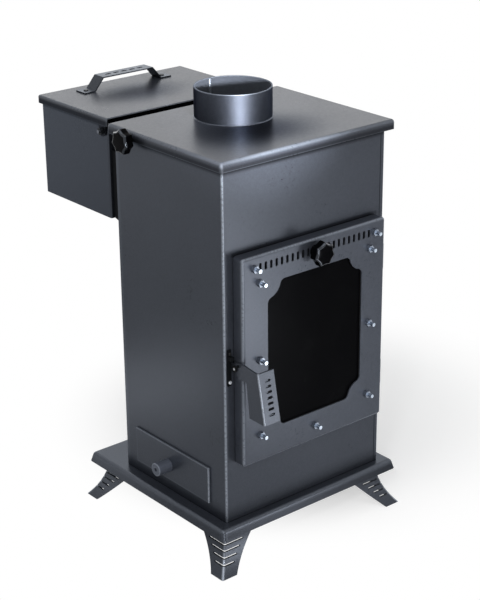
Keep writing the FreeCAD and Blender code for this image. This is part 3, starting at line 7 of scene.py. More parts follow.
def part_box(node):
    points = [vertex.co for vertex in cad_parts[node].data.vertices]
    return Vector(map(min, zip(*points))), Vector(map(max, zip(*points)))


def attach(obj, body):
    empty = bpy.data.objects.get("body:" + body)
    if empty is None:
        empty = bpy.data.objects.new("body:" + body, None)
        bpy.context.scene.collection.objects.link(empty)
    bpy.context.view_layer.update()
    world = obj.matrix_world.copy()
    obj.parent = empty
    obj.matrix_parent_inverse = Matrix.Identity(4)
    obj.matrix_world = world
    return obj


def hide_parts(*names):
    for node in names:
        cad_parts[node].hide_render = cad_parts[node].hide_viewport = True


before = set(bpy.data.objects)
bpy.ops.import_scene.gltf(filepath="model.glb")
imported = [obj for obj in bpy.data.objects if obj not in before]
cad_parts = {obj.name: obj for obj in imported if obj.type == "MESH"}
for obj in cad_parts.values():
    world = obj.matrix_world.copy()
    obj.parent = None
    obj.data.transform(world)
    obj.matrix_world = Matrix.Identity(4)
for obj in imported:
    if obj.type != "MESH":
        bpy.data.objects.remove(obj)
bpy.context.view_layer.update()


# Base plinth: a shallow tray of folded sheet steel, turned upside down, with splayed lips.
# It carries the body and is sprayed with the same satin anthracite stove paint as the rest, which has a
# fine grain.
# A paler line of wear and painted highlight runs along its folds, and its lips carry painted shade.
class Wire:
    """A socket of a node tree; arithmetic on it adds Math nodes."""

    def __init__(self, tree, socket=None):
        self.tree = tree
        self.socket = socket

    def node(self, kind, settings=None, inputs=None, output=0):
        """Add a node: its settings are set first, then the values or links of its sockets."""
        item = self.tree.nodes.new(kind)
        for name, value in (settings or {}).items():
            setattr(item, name, value)
        for name, value in (inputs or {}).items():
            if isinstance(value, Wire):
                self.tree.links.new(value.socket, item.inputs[name])
            else:
                item.inputs[name].default_value = value
        return Wire(self.tree, item.outputs[output])

    def maths(self, operation, *values):
        return self.node("ShaderNodeMath", {"operation": operation}, dict(enumerate(values)))

    def __add__(self, other):
        return self.maths("ADD", self, other)

    def __radd__(self, other):
        return self.maths("ADD", other, self)

    def __sub__(self, other):
        return self.maths("SUBTRACT", self, other)

    def __rsub__(self, other):
        return self.maths("SUBTRACT", other, self)

    def __mul__(self, other):
        return self.maths("MULTIPLY", self, other)

    def __rmul__(self, other):
        return self.maths("MULTIPLY", other, self)

    def __truediv__(self, other):
        return self.maths("DIVIDE", self, other)

    def __rtruediv__(self, other):
        return self.maths("DIVIDE", other, self)

    def __abs__(self):
        return self.maths("ABSOLUTE", self)

    def most(self, other):
        return self.maths("MAXIMUM", self, other)

    def root(self):
        return self.maths("SQRT", self)

    def wave(self):
        return self.maths("SINE", self)

    def fade(self, start, end):
        """0 up to the start, 1 from the end, smooth between them."""
        return self.node("ShaderNodeMapRange", {"interpolation_type": "SMOOTHSTEP"},
                         {"Value": self, "From Min": start, "From Max": end, "To Min": 0.0, "To Max": 1.0})

    def fall(self, start, end):
        """1 up to the start, 0 from the end, smooth between them."""
        return 1.0 - self.fade(start, end)

    def mix(self, low, high):
        """A colour between two, by this wire's value; the numbers are the Mix node's colour sockets."""
        first_colour, second_colour, mixed_colour = 6, 7, 2
        return self.node("ShaderNodeMix", {"data_type": "RGBA"},
                         {"Factor": self, first_colour: low, second_colour: high}, mixed_colour)


def new_finish(name, **constants):
    """A material with one Principled shader; returns both and the point on the piece, in metres."""
    material = bpy.data.materials.new(name)
    material.use_nodes = True
    shader = material.node_tree.nodes["Principled BSDF"]
    for socket, value in constants.items():
        shader.inputs[socket.replace("_", " ")].default_value = value
    return material, shader, Wire(material.node_tree).node("ShaderNodeTexCoord", output="Object")


def feed(shader, **sockets):
    """Link wires to the shader's sockets of these names."""
    for socket, value in sockets.items():
        value.tree.links.new(value.socket, shader.inputs[socket.replace("_", " ")])


def parts_of(point):
    """A point's three places, along X, Y and Z of the stove's frame."""
    split = point.node("ShaderNodeSeparateXYZ", inputs={0: point})
    return [Wire(point.tree, socket) for socket in split.socket.node.outputs]


def grain(point, scale, detail=2.0, roughness=0.5):
    """Cloudy noise; a larger scale gives a finer one."""
    return point.node("ShaderNodeTexNoise", inputs={"Vector": point, "Scale": scale, "Detail": detail,
                                                    "Roughness": roughness})


def bumps(height, strength, distance):
    """A surface roughened by a height, for the shader's Normal."""
    return height.node("ShaderNodeBump", inputs={"Strength": strength, "Distance": distance,
                                                 "Height": height})


LINE_CORE = 0.3


def near(parts, lines, width, strength):
    """A mask along lines that ends a width away; each line is where its (axis, place) planes meet."""
    mask = None
    for planes in lines:
        gap = None
        for axis, place in planes:
            step = abs(parts[axis] - place)
            gap = step if gap is None else gap.most(step)
        line = gap.fall(width * LINE_CORE, width)
        mask = line if mask is None else mask.most(line)
    return mask * strength


def toned(colour, tone):
    """A colour made lighter or darker by a tone."""
    return (*(part * tone for part in colour), 1.0)


PAINT_DEEP = (0.033, 0.037, 0.047)
PAINT_PALE = (0.047, 0.052, 0.065)
PAINT_WEAR_AND_HIGHLIGHT = (0.40, 0.44, 0.51, 1.0)
PAINT_SHEEN = (0.77, 0.86, 1.0, 1.0)
PAINT_SHADE = (0.006, 0.006, 0.007, 1.0)
PAINT_METAL = 0.35
PAINT_ROUGH = 0.22
MOTTLE_EDGES = (0.3, 0.7)
FLAKE_EDGES = (0.66, 0.78)
FLAKE_SHOW = 0.10
SCUFF_DEPTH = 0.08
THIN_GLOSS = 0.08
SOOT_DULLS = 0.5


def stove_paint(name, paler=None, dark=None, sooty=None, tone=1.0, dull=0.0, metal=PAINT_METAL,
                edge=PAINT_SHEEN):
    """Satin anthracite paint; its masks give paler places of wear and painted highlight, darker ones of
    dark joints and painted shade, and duller ones.
    """
    material, shader, point = new_finish(name, Metallic=metal, IOR=1.5, Specular_IOR_Level=0.4,
                                         Specular_Tint=edge)
    parts = parts_of(point)
    clouds = grain(point, scale=11.0, detail=3.0, roughness=0.55)
    speckle = grain(point, scale=950.0, detail=1.0)
    mottle = grain(point, scale=230.0).fade(*MOTTLE_EDGES)
    flake = grain(point, scale=2300.0, detail=0.0).fade(*FLAKE_EDGES)
    cover = clouds * 0.5 + speckle * 0.2 + mottle * 0.3
    colour = cover.mix(toned(PAINT_DEEP, tone), toned(PAINT_PALE, tone))
    colour = (flake * FLAKE_SHOW).mix(colour, PAINT_WEAR_AND_HIGHLIGHT)
    rough = PAINT_ROUGH + dull + clouds * 0.08 + speckle * 0.06 + mottle * 0.05
    if paler:
        scuffs = grain(point, scale=60.0).fade(*MOTTLE_EDGES) * SCUFF_DEPTH
        pale_places = paler(parts) * (1.0 - SCUFF_DEPTH + scuffs)
        colour = pale_places.mix(colour, PAINT_WEAR_AND_HIGHLIGHT)
        rough = rough - pale_places * THIN_GLOSS
    if dark:
        # A dark place turns to dark metal, so that its sheen goes with its colour.
        shaded = dark(parts)
        colour = shaded.mix(colour, PAINT_SHADE)
        feed(shader, Metallic=metal + shaded * (1.0 - metal))
    if sooty:
        rough = rough + sooty(parts) * SOOT_DULLS
    grit = bumps(speckle, strength=0.04, distance=0.0002)
    feed(shader, Base_Color=colour, Roughness=rough, Normal=grit)
    return material


def coat(material, *names):
    """Give CAD pieces a finish."""
    for name in names:
        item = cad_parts[name]
        item.data.materials.clear()
        item.data.materials.append(material)


X, Y, Z = 0, 1, 2


def upright_lines(low, high):
    """The four upright edges of a box."""
    return [((X, side), (Y, row)) for side in (low[X], high[X]) for row in (low[Y], high[Y])]


def top_lines(low, high):
    """The four edges round the top of a box."""
    return [((axis, place), (Z, high[Z])) for axis in (X, Y) for place in (low[axis], high[axis])]


plinth_low, plinth_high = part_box("base_plinth")
plinth_splay = 0.004
plinth_top_low = [plinth_low[X] + plinth_splay, plinth_low[Y] + plinth_splay, plinth_low[Z]]
plinth_top_high = [plinth_high[X] - plinth_splay, plinth_high[Y] - plinth_splay, plinth_high[Z]]
plinth_left_end = (plinth_low[X] + 0.010, plinth_low[X] + 0.014)
plinth_lip_top = (plinth_high[Z] - 0.009, plinth_high[Z] - 0.004)
PLINTH_LIP_SHADE = 0.5
LEFT_LIP_LIGHT = 0.35


# Wear and painted highlight along the rim's top edges.
def plinth_rim(parts):
    return near(parts, top_lines(plinth_top_low, plinth_top_high), width=0.005, strength=0.08)


def plinth_lips(parts):
    """Painted shade on the lips that hang below the rim, less so on the left one."""
    left = parts[X].fall(*plinth_left_end)
    return parts[Z].fall(*plinth_lip_top) * (PLINTH_LIP_SHADE - left * LEFT_LIP_LIGHT)


coat(stove_paint("plinth_paint", plinth_rim, plinth_lips, tone=0.85), "base_plinth")

# Legs: four folded and swept corners of the same sheet, pierced with slots across the fold.
# Each hangs from a tab on a zinc-plated stud and nut under the plinth, and its fold is painted
# paler, with wear and painted highlight, most of all near the foot.
leg_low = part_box("leg_front_left")[0]
plinth_sheet = 0.002
leg_rise = plinth_high[Z] - plinth_sheet
leg_flare = 0.028
leg_bow = (leg_rise ** 2 + leg_flare ** 2) / (2.0 * leg_flare)
plinth_middle = (plinth_low[Y] + plinth_high[Y]) / 2.0
LEG_FOLD_EDGES = (0.001, 0.0045)
LEG_FOLD_PALE = 0.16
FOOT_DROP = (0.02, 0.07)
FOOT_PALE = 0.40


def leg_fold(parts):
    """A mask of wear and painted highlight along the swept fold of each leg, stronger towards the foot."""
    across = abs(parts[X]) - (abs(leg_low[X]) - leg_flare)
    along = abs(parts[Y] - plinth_middle) - (plinth_middle - leg_low[Y] - leg_flare)
    drop = leg_rise - parts[Z]
    sweep = leg_bow - (leg_bow * leg_bow - drop * drop).root()
    gap = abs(across - sweep).most(abs(along - sweep))
    return gap.fall(*LEG_FOLD_EDGES) * (LEG_FOLD_PALE + drop.fade(*FOOT_DROP) * FOOT_PALE)


LEGS = ("leg_front_left", "leg_front_right", "leg_rear_left", "leg_rear_right")
coat(stove_paint("leg_paint", leg_fold, tone=0.75), *LEGS)
ZINC_CLOUD = (0.82, 0.83, 0.86)


def zinc_plate(name, tint, rough):
    """Zinc plate with a faint turning grain and dull clouds."""
    material, shader, point = new_finish(name, Metallic=1.0)
    clouds = grain(point, scale=140.0, detail=3.0)
    scratch = grain(point, scale=1900.0)
    cloudy = (*(part * share for part, share in zip(tint, ZINC_CLOUD)), 1.0)
    turned = bumps(scratch, strength=0.08, distance=0.0001)
    feed(shader, Base_Color=clouds.mix(cloudy, (*tint, 1.0)),
         Roughness=rough + clouds * 0.12 + scratch * 0.05, Normal=turned)
    return material


zinc = zinc_plate("zinc_plate", tint=(0.80, 0.82, 0.86), rough=0.18)
coat(zinc, "leg_studs", "leg_nuts")

# Body: one sheet folded round the two front corners, with the fire opening cut in its front
# and the drawer gate in its left side, closed at the back by a welded panel. The right front
# corner shows the faint line of a lapped seam, and the rear edge of the wall is turned.
body_low, body_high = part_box("body_wrap")
top_low, top_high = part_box("top_plate")
door_low, door_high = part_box("door_panel")
front_corners = [((X, side), (Y, body_low[Y])) for side in (body_low[X], body_high[X])]
rear_edge = [((Y, body_high[Y]),)]
lapped_seam = [((X, body_high[X] - 0.009), (Y, body_low[Y]))]
above_door = [((Z, door_high[Z] + 0.001),)]
beside_door = (door_high[X], door_high[X] + 0.004)
under_top = (top_low[Z] - 0.012, top_low[Z] - 0.004)
plinth_joint = (plinth_high[Z] + 0.0005, plinth_high[Z] + 0.0025)
over_plinth = (plinth_high[Z], plinth_high[Z] + 0.034)
TOP_SHADOW = 0.85
JOINT_SHADOW = 0.8
GROUND_SHADOW = 0.5


# Wear and painted highlight along the front corners, and faintly along the turned rear edge.
def body_folds(parts):
    corners = near(parts, front_corners, width=0.004, strength=0.52)
    turned = near(parts, rear_edge, width=0.009, strength=0.07)
    return corners.most(turned)


def body_shades(parts):
    """Dark along the lapped seam; painted shade under the top plate and down by the plinth, and a painted
    shadow over the door.
    """
    lap = near(parts, lapped_seam, width=0.0012, strength=0.8)
    door = near(parts, above_door, width=0.005, strength=0.5) * abs(parts[X]).fall(*beside_door)
    top = parts[Z].fade(*under_top) * TOP_SHADOW
    joint = parts[Z].fall(*plinth_joint) * JOINT_SHADOW
    ground = parts[Z].fall(*over_plinth) * GROUND_SHADOW
    return lap.most(top).most(joint).most(ground).most(door)


coat(stove_paint("body_paint", body_folds, body_shades), "body_wrap")
coat(stove_paint("back_paint"), "rear_panel")

# Top plate: a folded sheet lid over the body, open below, with rolled edges. It is painted paler
# along the rolls, with wear and painted highlight, and darker on the lips that hang from them,
# with painted shade, and in a soft cloud on the middle of the plate, a painted dark reflection.
top_lip_end = (top_low[Z] + 0.0006, top_low[Z] + 0.0016)
top_lip_top = (top_high[Z] - 0.011, top_high[Z] - 0.005)
TOP_LIP_PALE = 0.22
TOP_LIP_SHADE = 0.6
DARK_REFLECTION_REACH = (0.05, 0.40)
PLATE_METAL = 0.15
PLATE_EDGE = (0.36, 0.39, 0.44, 1.0)


# Wear and painted highlight along the rolled edges, and a paler line painted at the lips' lower edge.
def top_rolls(parts):
    edges = top_lines(top_low, top_high) + upright_lines(top_low, top_high)
    rolls = near(parts, edges, width=0.006, strength=0.25)
    return rolls.most(parts[Z].fall(*top_lip_end) * TOP_LIP_PALE)


def distance(across, along):
    """How far a place lies from a centre, from its two offsets."""
    return (across * across + along * along).root()


def painted_dark_reflection(parts, low, high, middle, depth):
    """A painted dark reflection: a soft dark cloud on a plate; middle is a share of its sides."""
    across = (parts[X] - low[X]) / (high[X] - low[X]) - middle[X]
    along = (parts[Y] - low[Y]) / (high[Y] - low[Y]) - middle[Y]
    return distance(across, along).fall(*DARK_REFLECTION_REACH) * depth


# Painted shade on the hanging lips and a painted dark reflection on the middle of the plate.
def top_shades(parts):
    lips = parts[Z].fall(*top_lip_top) * TOP_LIP_SHADE
    return lips.most(painted_dark_reflection(parts, top_low, top_high, middle=(0.44, 0.34), depth=0.75))


coat(stove_paint("top_paint", top_rolls, top_shades, metal=PLATE_METAL, edge=PLATE_EDGE), "top_plate")

# Flue collar: a rolled tube, seamed on the inside and welded all round to the top plate. Its
# thin paint lets the steel shine through; the cut rim is rubbed pale and the inside is dulled
# by soot. A bead of weld drops runs round its foot and another up the seam.
collar_low, collar_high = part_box("flue_collar")
collar_centre = Vector(((collar_low[X] + collar_high[X]) / 2.0, (collar_low[Y] + collar_high[Y]) / 2.0,
                        collar_low[Z]))
collar_radius = (collar_high[X] - collar_low[X]) / 2.0
collar_wall = 0.002
wall_middle = (collar_radius - collar_wall * 0.8, collar_radius - collar_wall * 0.2)
INSIDE_PALE = 0.12
COLLAR_EDGE = (0.31, 0.32, 0.34, 1.0)


def collar_inside(parts):
    across = parts[X] - collar_centre[X]
    along = parts[Y] - collar_centre[Y]
    return distance(across, along).fall(*wall_middle)


def collar_pale(parts):
    rim = near(parts, [((Z, collar_high[Z]),)], width=0.0015, strength=0.3)
    return rim.most(collar_inside(parts) * INSIDE_PALE)


coat(stove_paint("collar_paint", collar_pale, sooty=collar_inside, tone=0.8, dull=0.14, metal=1.0,
                 edge=COLLAR_EDGE), "flue_collar")


def sweep_mesh(name, stations, section, sides, closed):
    """A tube along stations of (point, side, lift); section(travel, turn) gives its two offsets there."""
    points = []
    travel = 0.0
    for index, (point, side, lift) in enumerate(stations):
        if index:
            travel += (point - stations[index - 1][0]).length
        for step in range(sides):
            out, rise = section(travel, math.tau * step / sides)
            points.append(point + side * out + lift * rise)
    faces = []
    count = len(stations)
    for row in range(count if closed else count - 1):
        first = row * sides
        second = (row + 1) % count * sides
        for step in range(sides):
            following = (step + 1) % sides
            faces.append((first + step, first + following, second + following, second + step))
    if not closed:
        faces.append(tuple(range(sides - 1, -1, -1)))
        faces.append(tuple(range((count - 1) * sides, count * sides)))
    mesh = bpy.data.meshes.new(name)
    mesh.from_pydata(points, [], faces)
    for face in mesh.polygons:
        face.use_smooth = True
    item = bpy.data.objects.new(name, mesh)
    bpy.context.scene.collection.objects.link(item)
    return item


BEAD_PITCH = 0.0026
BEAD_SWELL = 0.18
BEAD_SIDES = 8
FOOT_BEAD = 0.0012
FOOT_STEPS = 288
SEAM_BEAD = 0.0022
SEAM_STEPS = 60
SEAM_STANDS = 0.3
SEAM_TURN = math.radians(89.0)
seam_stop = 0.001
weld_fade = (collar_low[Z], collar_low[Z] + 0.004)
WELD_PALE = 0.3
UP = Vector((0.0, 0.0, 1.0))


def bead(radius):
    """The section of a weld bead: a round one that swells with each drop of weld."""
    def section(travel, turn):
        drop = abs(math.sin(math.pi * travel / BEAD_PITCH))
        swell = radius * (1.0 - BEAD_SWELL + BEAD_SWELL * drop)
        return swell * math.cos(turn), swell * math.sin(turn)
    return section


# Painted highlight: the bead is lighter above the collar's foot.
def weld_highlight(parts):
    return parts[Z].fade(*weld_fade) * WELD_PALE


foot_stations = []
for step in range(FOOT_STEPS):
    turn = math.tau * step / FOOT_STEPS
    outward = Vector((math.cos(turn), math.sin(turn), 0.0))
    foot_stations.append((collar_centre + outward * collar_radius, outward, UP))
foot_weld = sweep_mesh("collar_foot_weld", foot_stations, bead(FOOT_BEAD), BEAD_SIDES, True)
seam_out = Vector((math.cos(SEAM_TURN), math.sin(SEAM_TURN), 0.0))
seam_side = Vector((-math.sin(SEAM_TURN), math.cos(SEAM_TURN), 0.0))
seam_height = collar_high[Z] - collar_low[Z] - seam_stop
seam_foot = collar_centre + seam_out * (collar_radius - collar_wall - SEAM_BEAD * SEAM_STANDS)
seam_stations = [(seam_foot + UP * (seam_height * step / SEAM_STEPS), seam_side, -seam_out)
                 for step in range(SEAM_STEPS + 1)]
seam_weld = sweep_mesh("collar_seam_weld", seam_stations, bead(SEAM_BEAD), BEAD_SIDES, False)
# The beads' dark paint stands in for the shade at the collar's foot and along the seam.
weld_paint = stove_paint("weld_paint", weld_highlight, tone=0.5)
for weld in (foot_weld, seam_weld):
    weld.data.materials.append(weld_paint)
    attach(weld, "stove")

# Fire parts: hearth plate, ledges, flame baffle, burn basket, feed chute and throat are bare
# sheet steel, blued and dulled by heat, with a brushed grain and a film of ash and soot.
STEEL_DEEP = (0.13, 0.13, 0.135, 1.0)
STEEL_PALE = (0.23, 0.23, 0.235, 1.0)
STEEL_SOOT = (0.035, 0.033, 0.031, 1.0)
BRUSHED = (1.0, 14.0, 14.0)
FILM_EDGES = (0.40, 0.66)


def fire_steel(name, soot):
    """Brushed steel under a film of soot, from 0 for none to 1 for thick."""
    material, shader, point = new_finish(name, Metallic=0.75)
    drawn_out = point.node("ShaderNodeMapping", inputs={"Vector": point, "Scale": BRUSHED})
    lines = grain(drawn_out, scale=160.0, detail=3.0)
    film = grain(point, scale=26.0, detail=4.0, roughness=0.6).fade(*FILM_EDGES) * soot
    colour = film.mix(lines.mix(STEEL_DEEP, STEEL_PALE), STEEL_SOOT)
    brushing = bumps(lines, strength=0.10, distance=0.0002)
    feed(shader, Base_Color=colour, Roughness=0.42 + film * 0.3 + lines * 0.08, Normal=brushing)
    return material


coat(fire_steel("fire_steel", soot=0.8), "hearth_ledges", "hearth_plate", "baffle_ledges", "flame_baffle",
     "burn_basket", "feed_chute", "feed_throat")

# Neck: a short box of sheet that joins the hopper to the back of the body, held by four bolts
# and nuts, and always in the shade between them; its black paint stands in part for that shade.
BLACK_TINT = (1.0, 1.1, 1.3)
DUST_LIFT = 2.0
DUST_EDGES = (0.45, 0.8)


def black_coat(name, base, rough, gloss):
    """Black enamel over sheet or turned steel, with faint dust and an uneven sheen."""
    material, shader, point = new_finish(name, IOR=1.5, Specular_IOR_Level=gloss, Specular_Tint=PAINT_SHEEN)
    dust = grain(point, scale=45.0, detail=4.0, roughness=0.6)
    fine = grain(point, scale=1300.0, detail=1.0)
    dusty = dust.fade(*DUST_EDGES) * 0.5
    colour = dusty.mix(toned(BLACK_TINT, base), toned(BLACK_TINT, base * DUST_LIFT))
    grit = bumps(fine, strength=0.08, distance=0.0002)
    feed(shader, Base_Color=colour, Roughness=rough + dust * 0.12, Normal=grit)
    return material


black_paint_and_shade = black_coat("black_paint_and_shade", base=0.003, rough=0.55, gloss=0.08)
coat(black_paint_and_shade, "hopper_neck")
coat(zinc, "neck_bolts", "neck_nuts")

# Hopper: a box of folded sheet behind the body with a sloping slide inside it, painted as the
# body outside; the slide is bare and polished by the pellets.
hopper_low, hopper_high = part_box("hopper_shell")
lid_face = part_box("lid_handle")[0][Z]
lid_drop = 0.013
lid_skirt = lid_face - lid_drop
below_lid = (lid_skirt - 0.007, lid_skirt - 0.001)
LID_SHADOW = 0.9


# A faint painted highlight along the hopper's upright folds.
def hopper_folds(parts):
    return near(parts, upright_lines(hopper_low, hopper_high), width=0.0035, strength=0.04)


# Painted shadow on the hopper wall just under the lid's skirt.
def under_lid(parts):
    return parts[Z].fade(*below_lid) * LID_SHADOW


coat(stove_paint("hopper_paint", hopper_folds, under_lid, tone=0.85, metal=0.65), "hopper_shell")
coat(fire_steel("slide_steel", soot=0.25), "hopper_slide")

# Lid: a folded pan over the hopper that swings on two bolts near its front edge, with a bent
# strap handle screwed on near its rear edge. The handle has a row of plain slots.
lid_low, lid_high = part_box("hopper_lid")
lid_rim = [lid_high[X], lid_high[Y], lid_face]
lid_lip_top = (lid_face - 0.007, lid_face - 0.003)
LID_LIP_SHADE = 0.7


# Painted highlight along the lid's rolled edges, and a paler line painted at its skirt's lower edge.
def lid_rolls(parts):
    edges = top_lines(lid_low, lid_rim) + upright_lines(lid_low, lid_rim)
    rolls = near(parts, edges, width=0.004, strength=0.22)
    lower = near(parts, [((Z, lid_skirt),)], width=0.0012, strength=0.2)
    return rolls.most(lower)


# Painted shade on the hanging lips and a painted dark reflection on the middle of the lid.
def lid_shades(parts):
    lips = parts[Z].fall(*lid_lip_top) * LID_LIP_SHADE
    return lips.most(painted_dark_reflection(parts, lid_low, lid_high, middle=(0.46, 0.5), depth=0.6))


coat(stove_paint("lid_paint", lid_rolls, lid_shades, metal=PLATE_METAL, edge=PLATE_EDGE), "hopper_lid")
black = black_coat("black_enamel", base=0.007, rough=0.36, gloss=0.2)
coat(zinc_plate("dark_zinc", tint=(0.13, 0.14, 0.16), rough=0.30), "lid_pivots")
coat(black, "lid_pivot_nuts", "handle_screws")
coat(stove_paint("handle_paint", tone=0.4), "lid_handle")

# Door: a deep pan of folded sheet with a window cut in it, its corners scalloped, and a row of
# upright air slots above the glass. Its front folds are painted paler, with wear and painted highlight.
door_edges = [((axis, place), (Y, door_low[Y])) for axis in (X, Z)
              for place in (door_low[axis], door_high[axis])]


def door_folds(parts):
    return near(parts, door_edges, width=0.0045, strength=0.34)


coat(stove_paint("door_paint", door_folds, tone=1.3), "door_panel")

# Glass and its tape: a plate of dark ceramic glass, bedded on flat woven tape behind the
# window and held by three bright clamp strips and their bolts.
GLASS_DEEP = (0.0016, 0.0016, 0.0020, 1.0)
GLASS_HAZE = (0.0030, 0.0030, 0.0034, 1.0)
HAZE_EDGES = (0.45, 0.8)
ceramic, shader, point = new_finish("ceramic_glass", IOR=1.5, Specular_IOR_Level=0.014,
                                    Specular_Tint=PAINT_SHEEN)
haze = grain(point, scale=14.0, detail=4.0, roughness=0.55)
feed(shader, Base_Color=haze.mix(GLASS_DEEP, GLASS_HAZE),
     Roughness=0.22 + haze.fade(*HAZE_EDGES) * 0.10)
coat(ceramic, "door_glass")


def framed_loop(box, inset, corner, spacing):
    """Stations round a rounded frame that stands inside a box: points, ways outwards, ways to the back."""
    low, high = box
    depth = (low[Y] + high[Y]) / 2.0
    left, right = low[X] + inset + corner, high[X] - inset - corner
    lower, upper = low[Z] + inset + corner, high[Z] - inset - corner
    centres = ((right, upper), (left, upper), (left, lower), (right, lower))
    back = Vector((0.0, 1.0, 0.0))
    bend_steps = max(3, round(math.pi / 2.0 * corner / spacing))
    stations = []
    for index, (mid_x, mid_z) in enumerate(centres):
        for step in range(bend_steps + 1):
            turn = math.radians(90.0 * index + 90.0 * step / bend_steps)
            outward = Vector((math.cos(turn), 0.0, math.sin(turn)))
            stations.append((Vector((mid_x, depth, mid_z)) + outward * corner, outward, back))
        last, outward, _ = stations[-1]
        next_x, next_z = centres[(index + 1) % len(centres)]
        goal = Vector((next_x, depth, next_z)) + outward * corner
        run_steps = max(1, round((goal - last).length / spacing))
        for step in range(1, run_steps):
            stations.append((last.lerp(goal, step / run_steps), outward, back))
    return stations


TAPE_INSET = 0.004
TAPE_CORNER = 0.0045
TAPE_STEP = 0.0013
TAPE_SIDES = 16
TAPE_HALF_WIDE = 0.0038
TAPE_HALF_THICK = 0.00095
TAPE_FLATNESS = 0.4
TAPE_RIPPLE = 0.04
TAPE_YARN = 0.004


def flattened(value):
    return math.copysign(abs(value) ** TAPE_FLATNESS, value)


def tape_section(travel, turn):
    """A flat tape with rounded edges that ripples from yarn to yarn."""
    ripple = 1.0 + TAPE_RIPPLE * math.sin(math.tau * travel / TAPE_YARN)
    return TAPE_HALF_WIDE * flattened(math.cos(turn)), TAPE_HALF_THICK * ripple * flattened(math.sin(turn))


def woven(name, dark, pale, pitch):
    """Woven glass fibre: two crossing sets of yarns that lie over and under each other."""
    material, shader, point = new_finish(name, Roughness=0.92, Specular_IOR_Level=0.2)
    parts = parts_of(point)
    rising = ((parts[X] + parts[Z]) * (math.pi / pitch)).wave()
    falling = ((parts[X] - parts[Z]) * (math.pi / pitch)).wave()
    weave = abs(rising).most(abs(falling))
    fluff = grain(point, scale=1500.0, detail=3.0)
    yarns = bumps(weave + fluff * 0.4, strength=0.5, distance=0.0006)
    feed(shader, Base_Color=(weave * 0.7 + fluff * 0.3).mix(dark, pale), Normal=yarns)
    return material


tape_stations = framed_loop(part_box("glass_gasket"), TAPE_INSET, TAPE_CORNER, TAPE_STEP)
tape = sweep_mesh("glass_tape", tape_stations, tape_section, TAPE_SIDES, True)
graphite = woven("graphite_tape", dark=(0.004, 0.004, 0.0045, 1.0), pale=(0.014, 0.014, 0.015, 1.0),
                 pitch=0.0022)
tape.data.materials.append(graphite)
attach(tape, "door")
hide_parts("glass_gasket")
coat(fire_steel("clamp_steel", soot=0.3), "glass_clamps")
coat(zinc_plate("bright_zinc", tint=(0.62, 0.70, 0.80), rough=0.20), "clamp_bolts", "guide_bolts")
coat(zinc_plate("dull_zinc", tint=(0.26, 0.29, 0.34), rough=0.34), "door_nuts")

# Air slider: a strip of steel behind the door's air slots, painted black, which stands in part for
# the shade seen through the slots; a star knob on a short stud moves it. The knob is moulded in
# black plastic, with seven points, a flat face and polished rims.
coat(black, "air_slider")
coat(zinc, "slider_stud")
KNOB_DEEP = (0.001, 0.001, 0.0013, 1.0)
KNOB_MARKS = (0.003, 0.003, 0.0036, 1.0)
KNOB_RADIUS = 0.0194
KNOB_HUB = 0.009
KNOB_THICK = 0.0155
KNOB_DOME = 0.0004
KNOB_ROUND = 0.0034
KNOB_HOLLOW = 0.0030
KNOB_FILLET = 0.0002
KNOB_POINTS = 7
KNOB_SIDES = 112
HUB_RINGS = 3
ROUND_STEPS = 6
DOME_STEPS = 8
DOME_TIP = 0.2
FRONT_ROUND = HUB_RINGS + ROUND_STEPS + 1
RIM_ROWS = range(FRONT_ROUND, FRONT_ROUND + ROUND_STEPS)


def knob_plastic(name, gloss):
    """Black moulded plastic with faint finger marks."""
    material, shader, point = new_finish(name, IOR=1.5, Specular_IOR_Level=gloss, Specular_Tint=PAINT_SHEEN)
    smear = grain(point, scale=55.0, detail=3.0)
    pores = grain(point, scale=2200.0, detail=1.0)
    skin = bumps(pores, strength=0.03, distance=0.0001)
    feed(shader, Base_Color=smear.mix(KNOB_DEEP, KNOB_MARKS), Roughness=0.05 + smear * 0.06,
         Normal=skin)
    return material


knob_face = knob_plastic("knob_plastic", gloss=0.02)
knob_edge = knob_plastic("knob_edge", gloss=0.6)


def knob_profile(hub_length):
    """The knob's outline from its foot to its crown: pairs of distance along the axis and radius."""
    front = hub_length + KNOB_THICK - KNOB_DOME
    shoulder = KNOB_RADIUS - KNOB_ROUND
    quarter = [math.radians(90.0 * step / ROUND_STEPS) for step in range(ROUND_STEPS + 1)]
    rings = [*range(DOME_STEPS - 1, 0, -1), DOME_TIP]
    hub = [(0.0, KNOB_HUB), (hub_length - KNOB_FILLET, KNOB_HUB), (hub_length, KNOB_HUB + KNOB_FILLET)]
    back_round = [(hub_length + KNOB_ROUND * (1.0 - math.cos(turn)), shoulder + KNOB_ROUND * math.sin(turn))
                  for turn in quarter]
    front_round = [(front - KNOB_ROUND * (1.0 - math.sin(turn)), shoulder + KNOB_ROUND * math.cos(turn))
                   for turn in quarter]
    dome = [(front + KNOB_DOME * (1.0 - (ring / DOME_STEPS) ** 2), shoulder * ring / DOME_STEPS)
            for ring in rings]
    return hub + back_round + front_round + dome


